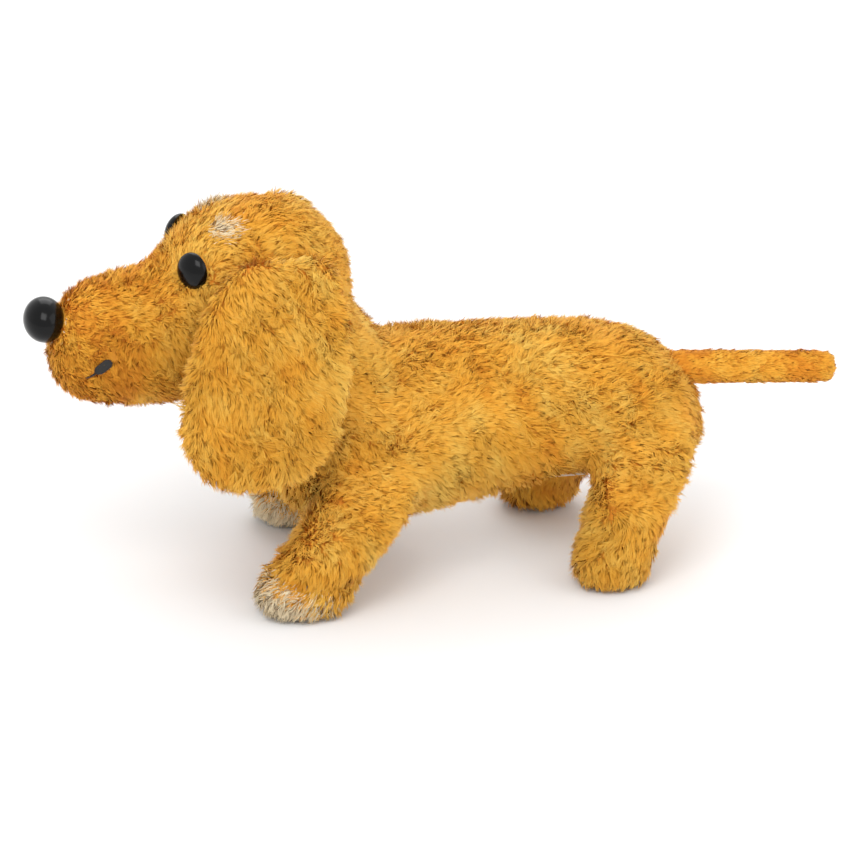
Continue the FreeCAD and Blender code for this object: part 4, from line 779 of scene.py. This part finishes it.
def ear_nap(points):
    """The ear's pile lies down and back, and further back towards the rear rim."""
    x = points[:, 0]
    spread = (x + 74) / 60
    return np.stack([0.35 + spread * 0.6, np.zeros(len(x)), -np.ones(len(x))], 1)


def tail_form():
    """The tail: a straight tube with a blunt rounded end, along the drooping axis."""
    r, radius = smooth_rows(TAIL, 60).T
    way = np.array((math.cos(TAIL_DROOP), 0, -math.sin(TAIL_DROOP)))
    centres = TAIL_ROOT + r[:, None] * way
    n = len(r)
    up = np.tile(np.cross(way, (0.0, 1.0, 0.0)), (n, 1))
    return tube_grid(centres, np.tile((0.0, 1.0, 0.0), (n, 1)), up, radius, radius, around=32)


def on_head(points):
    """Whether each point is on the head's part of the coat."""
    return (points[:, 0] < -50) & (points[:, 2] > 76)


AREAS = {  # the parts that the coat's pile is made in
    "head": on_head,
    "front": lambda points: ~on_head(points) & (points[:, 0] < 0),
    "rear": lambda points: points[:, 0] >= 0,
}


def clear_of_face(points):
    """Keeps locks off the eyes, the nose, the mouth's threads and the belly's opening."""
    x, y, z = points.T
    keep = np.ones(len(points), bool)
    for side in (-1, 1):
        keep &= np.linalg.norm(points - on_side(EYE, side), axis=1) > EYE_GAP
    keep &= np.linalg.norm((points - NOSE) / NOSE_GAP, axis=1) > 1
    for line, gap in ((MOUTH, 1.9), (MOUTH_TAIL, 0.8)):
        (ax, az), (bx, bz) = line[0], line[-1]
        t = ((x - ax) * (bx - ax) + (z - az) * (bz - az)) / ((bx - ax) ** 2 + (bz - az) ** 2)
        t = np.clip(t, -0.1, 1.1)
        keep &= np.hypot(x - ax - t * (bx - ax), z - az - t * (bz - az)) > gap
    (x0, _), (x1, half) = OPENING
    over_door = (x > x0 - 0.5) & (x < x1 + 0.5) & (np.abs(y) < half + 0.5) & (z < OPENING_HIGH + 1)
    return keep & ~over_door


def pile_length():
    """The pile's usual length in millimetres."""
    return bpy.context.scene.dachshund_coat.pile / MM


def coat_length(points):
    """Pile in millimetres: shorter on the muzzle, round the eyes and nose and at the soles, and longer on
    the brows."""
    x, y, z = points.T
    length = np.full(len(points), pile_length())
    length *= 1 - 0.22 * np.clip((-112 - x) / 20, 0, 1)
    for side in (-1, 1):
        length *= 1 - 0.45 * near(points, on_side(EYE, side), 14)
    length *= 1 - 0.4 * near(points, NOSE, 15)
    length *= np.where(z < 4, 0.55, 1.0)
    for side in (-1, 1):
        length *= 1 + 0.3 * near(points, on_side(BROW, side), 10)
    return length


def coat_tones(points, rng):
    """The mottle, with deeper orange on the muzzle, painted shade along the creased seams and low on the
    right under the belly, paler gold low on the flanks, and cream on the fore toes, the brows and round the
    nose."""
    tone = tones(points, rng)
    x, y, z = points.T
    tone += 0.28 * np.clip((-98 - x) / 30, 0, 1) - 0.22 * near(points, (-2, 0, 48), (60, 80, 26))
    # Painted shade: deeper orange low on the right, the side away from the lights, and under the belly.
    tone += 0.2 * np.clip((34 - z) / 12, 0, 1) * np.clip((y + 10) / 20, 0, 1)
    # Painted shade: deeper orange in the hollows of the creased seams.
    for line in SEAMS:
        tone += 0.4 * np.exp(-((away_from(points, line, 24) / 4) ** 2))
    tone = np.clip(tone, PALEST_TONE, 1)
    cream = np.zeros(len(points))
    for side, toe in ((-1, -72), (1, -58)):
        cream = np.maximum(cream, near(points, (toe, side * 43, 3), (34, 36, 19)) * 1.5)
        cream = np.maximum(cream, near(points, on_side(BROW, side) + (0, 0, 2), (13, 8, 8)) * 1.6)
    cream = np.maximum(cream, near(points, NOSE, 13) * 0.9)
    pale = rng.random(len(points)) < cream
    return np.where(pale, rng.uniform(0.02, 0.17, len(points)), tone)


def ear_length(points):
    """The ear's pile: a little longer than the coat's."""
    return np.full(len(points), pile_length() * 1.05)


def ear_tones(points, rng):
    """The mottle, deeper in the ear's middle and paler along its rear rim and its tip."""
    tone = tones(points, rng)
    x, y, z = points.T
    tone += (
        0.12 * near(points, (-84, y.mean(), 84), (26, 40, 30))
        - 0.1 * np.clip((x + 56) / 14, 0, 1)
        - 0.12 * np.clip((70 - z) / 14, 0, 1)
    )
    return np.clip(tone, PALEST_TONE, 1)


def tail_length(points):
    """The tail's pile: half as long as the coat's."""
    return np.full(len(points), pile_length() * 0.5)


def tail_tones(points, rng):
    """The mottle, deeper all along the tail, and deepest at its root as painted shade where it meets the
    rump.
    """
    root = np.clip((116 - points[:, 0]) / 14, 0, 1)
    # The extra depth at the root is painted shade where the tail meets the body.
    return np.clip(tones(points, rng) + 0.16 + 0.3 * root, PALEST_TONE, 1)


def tail_nap(points):
    """The tail's pile lies back along it."""
    return np.tile((1.0, 0, -0.08), (len(points), 1))


class DACHSHUND_OT_coat(bpy.types.Operator):
    """Makes the stuffed coat over the torso, legs, neck and head, with its pile."""

    bl_idname = "dachshund.coat"
    bl_label = "Coat"

    def execute(self, context):
        s = context.scene.dachshund_coat
        forms = [along_x(TORSO), up_slope(NECK_RIDGE), along_x(HEAD)]
        legs = ((FORE_LEFT, -1), (FORE_RIGHT, 1), (HIND_LEFT, -1), (HIND_RIGHT, 1))
        forms += [up_z(rows, side) for rows, side in legs]
        skin = stuffed(outward(tubes_mesh("coat_skin", forms)), s.voxel, rounds=6, seams=coat_seams)
        for line in SEAMS:
            creased(skin, line, CREASE_DEPTH, CREASE_WIDTH)
        draw_in(skin, PILE_ROOM)
        opened(skin, (*OPENING[0], OPENING_LOW), (*OPENING[1], OPENING_HIGH))
        smooth_faces(skin)
        skin.data.materials.append(backing())
        for i, (area, inside) in enumerate(AREAS.items()):
            for side, part in SIDES:
                fur = grow(
                    f"pile_{area}_{part}", skin, coat_tones, coat_length,
                    keep=lambda p: inside(p) & clear_of_face(p) & (p[:, 1] * side >= 0),
                    seed=10 + 2 * i + (side > 0))
                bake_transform(fur)
        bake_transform(skin)
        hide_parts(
            "torso_skin_left", "torso_skin_right", "torso_filling", "front_leg_left", "front_leg_right",
            "rear_leg_left", "rear_leg_right", "neck_plush", "head_skin_left", "head_skin_right",
            "head_filling", "brow_patches")
        return {"FINISHED"}


class DACHSHUND_OT_ears(bpy.types.Operator):
    """Makes the two hanging ears with their pile."""

    bl_idname = "dachshund.ears"
    bl_label = "Ears"

    def execute(self, context):
        for side, part in SIDES:
            form = outward(tubes_mesh(f"ear_skin_{part}", [ear_form(side)]))
            skin = stuffed(form, 0.0022, rounds=4, cap=1.2)
            smooth_faces(skin)
            skin.data.materials.append(backing())
            fur = grow(
                f"pile_ear_{part}", skin, ear_tones, ear_length,
                density=0.95, nap_of=ear_nap, seed=30 + (side > 0))
            for piece in (skin, fur):
                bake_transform(piece)
            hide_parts(f"ear_{part}")
        return {"FINISHED"}


class DACHSHUND_OT_tail(bpy.types.Operator):
    """Makes the straight blunt tail with its pile."""

    bl_idname = "dachshund.tail"
    bl_label = "Tail"

    def execute(self, context):
        skin = outward(tubes_mesh("tail_skin", [tail_form()]))
        smooth_faces(skin)
        skin.data.materials.append(backing())
        fur = grow(
            "pile_tail", skin, tail_tones, tail_length, density=1.5, nap_of=tail_nap, lie=1.2, seed=40)
        for piece in (skin, fur):
            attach(piece, "tail")
        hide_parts("tail_plush")
        return {"FINISHED"}


def side_of_muzzle(x, z):
    """How far out the stuffed head is at a length and height, from its stations."""
    rows = HEAD[::-1]
    mid, wide, high = (np.interp(x, rows[:, 0], rows[:, k]) for k in (1, 2, 3))
    return wide * np.sqrt(np.clip(1 - ((z - mid) / high) ** 2, 0, 1))


def mouth_threads(side, radius):
    """The mouth's corner on one side: a lens of seven parallel threads, each thinner to its ends, and a
    thin curved one that runs forward. They lie on the muzzle's surface."""
    threads = []
    for k in range(-3, 4):
        t = np.linspace(-1, 1, 14)
        span = 0.5 * math.sqrt(1 - (k / 4.2) ** 2)
        at = 0.5 + span * t
        x = np.interp(at, (0, 0.5, 1), MOUTH[:, 0]) + k * 0.36
        z = np.interp(at, (0, 0.5, 1), MOUTH[:, 1]) - k * 0.40
        threads.append((x, z, radius * (1 - 0.75 * t**6)))
    line = smooth_rows(MOUTH_TAIL, 24)
    threads.append((line[:, 0], line[:, 1], np.linspace(radius * 1.1, radius * 0.5, 24)))
    grids = []
    for x, z, r in threads:
        centres = np.stack([x, side * (side_of_muzzle(x, z) + 0.5), z], 1)
        way = unit(np.gradient(centres, axis=0))
        across = unit(np.cross(way, (0.0, 1.0, 0.0)))
        grids.append(tube_grid(centres, across, np.cross(way, across), r, r, around=10))
    return grids


class DACHSHUND_OT_face(bpy.types.Operator):
    """Makes the glossy eyes and nose and the mouth's stitches."""

    bl_idname = "dachshund.face"
    bl_label = "Face"

    def execute(self, context):
        s = context.scene.dachshund_face
        black = mottled_material(
            "glossy black", s.black, 0.16, scale=300, bump=0.00001, Specular_IOR_Level=0.22)
        for node in GLOSSY_NODES:
            finish(frame["nodes"][node], black)
        radius = s.thread_width / MM / 2
        threads = [thread for side in (-1, 1) for thread in mouth_threads(side, radius)]
        stitches = outward(tubes_mesh("mouth_threads", threads))
        smooth_faces(stitches)
        stitches.data.materials.append(
            mottled_material("embroidery thread", s.thread, 0.55, scale=2500, bump=0.0001))
        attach(stitches, "head")
        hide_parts("mouth_stitches")
        return {"FINISHED"}


class DACHSHUND_OT_insides(bpy.types.Operator):
    """Gives every hidden part of the drives and the belly module its finish."""

    bl_idname = "dachshund.insides"
    bl_label = "Insides"

    def execute(self, context):
        record = frame["record"]
        looks = {m["slot"]: m for m in record["materials"]}
        for entry in record["subparts"]:
            obj = frame["nodes"][entry["node"]]
            slot = entry["material_slot"]
            if obj.hide_render or entry["node"] in GLOSSY_NODES:
                continue
            look = looks[slot]
            name = slot.replace("_", " ") + " finish"
            rough = ROUGHNESS.get(look["class"], METAL_ROUGHNESS)
            metallic = 1.0 if look["class"] in METALS else 0.0
            make = lambda: mottled_material(name, look["base_color"][:3], rough, Metallic=metallic)
            finish(obj, found(name, make))
        return {"FINISHED"}


class DACHSHUND_OT_stage(bpy.types.Operator):
    """Makes the camera, the pale floor and the soft lights."""

    bl_idname = "dachshund.stage"
    bl_label = "Stage"

    def execute(self, context):
        s = context.scene.dachshund_stage
        flat = math.cos(s.climb)
        away = Vector((math.sin(s.turn) * flat, -math.cos(s.turn) * flat, math.sin(s.climb)))
        camera = bpy.data.objects.new("camera", bpy.data.cameras.new("camera"))
        camera.data.sensor_width = SENSOR
        camera.data.lens = SENSOR * s.distance / s.width
        camera.location = Vector(AIM) + away * s.distance
        camera.rotation_euler = (-away).to_track_quat("-Z", "Y").to_euler()
        context.collection.objects.link(camera)
        context.scene.camera = camera
        corners = np.array([(-1, -1, 0), (1, -1, 0), (1, 1, 0), (-1, 1, 0)], float) * 4000
        floor = mesh_from("floor", corners, [(0, 1, 2, 3)])
        floor.data.materials.append(new_material("pale floor", (0.9, 0.9, 0.9), 0.9)[0])
        for name, place, size, share in LIGHTS:
            light = bpy.data.objects.new(name, bpy.data.lights.new(name, "AREA"))
            light.data.energy = s.strength * share
            light.data.size = size
            light.location = place
            facing = Vector(LIT_POINT) - light.location
            light.rotation_euler = facing.to_track_quat("-Z", "Y").to_euler()
            context.collection.objects.link(light)
        world = bpy.data.worlds.new("studio")
        world.use_nodes = True
        world.node_tree.nodes["Background"].inputs["Color"].default_value = (1, 1, 1, 1)
        world.node_tree.nodes["Background"].inputs["Strength"].default_value = 0.95
        context.scene.world = world
        context.scene.view_settings.view_transform = "Standard"
        return {"FINISHED"}


class DACHSHUND_PT_panel(bpy.types.Panel):
    """Lists the dog's pieces and their settings."""

    bl_idname = "DACHSHUND_PT_panel"
    bl_label = "Stuffed Dachshund"
    bl_space_type = "VIEW_3D"
    bl_region_type = "UI"
    bl_category = "Dachshund"

    def draw(self, context):
        for title, settings, operators in PARTS:
            box = self.layout.box()
            box.label(text=title)
            for setting in getattr(context.scene, settings).bl_rna.properties.keys():
                if setting not in ("name", "rna_type"):
                    box.prop(getattr(context.scene, settings), setting)
            for operator in operators:
                box.operator(operator.bl_idname)


PARTS = [
    ("Plush", "dachshund_coat", (DACHSHUND_OT_coat, DACHSHUND_OT_ears, DACHSHUND_OT_tail)),
    ("Face and insides", "dachshund_face", (DACHSHUND_OT_face, DACHSHUND_OT_insides)),
    ("Stage", "dachshund_stage", (DACHSHUND_OT_stage,)),
]
SETTINGS = {
    "dachshund_coat": CoatSettings,
    "dachshund_face": FaceSettings,
    "dachshund_stage": StageSettings,
}
OPERATORS = [o for _, _, operators in PARTS for o in operators]


def register():
    """Adds the classes, and the settings to the scene."""
    for c in (*SETTINGS.values(), *OPERATORS, DACHSHUND_PT_panel):
        bpy.utils.register_class(c)
    for name, group in SETTINGS.items():
        setattr(bpy.types.Scene, name, bpy.props.PointerProperty(type=group))


def unregister():
    """Takes them away again."""
    for name in SETTINGS:
        delattr(bpy.types.Scene, name)
    for c in (DACHSHUND_PT_panel, *reversed(OPERATORS), *reversed(SETTINGS.values())):
        bpy.utils.unregister_class(c)


def main():
    """Makes every piece and the stage."""
    register()
    for operator in OPERATORS:
        family, name = operator.bl_idname.split(".")
        getattr(getattr(bpy.ops, family), name)()


if __name__ == "__main__":
    main()
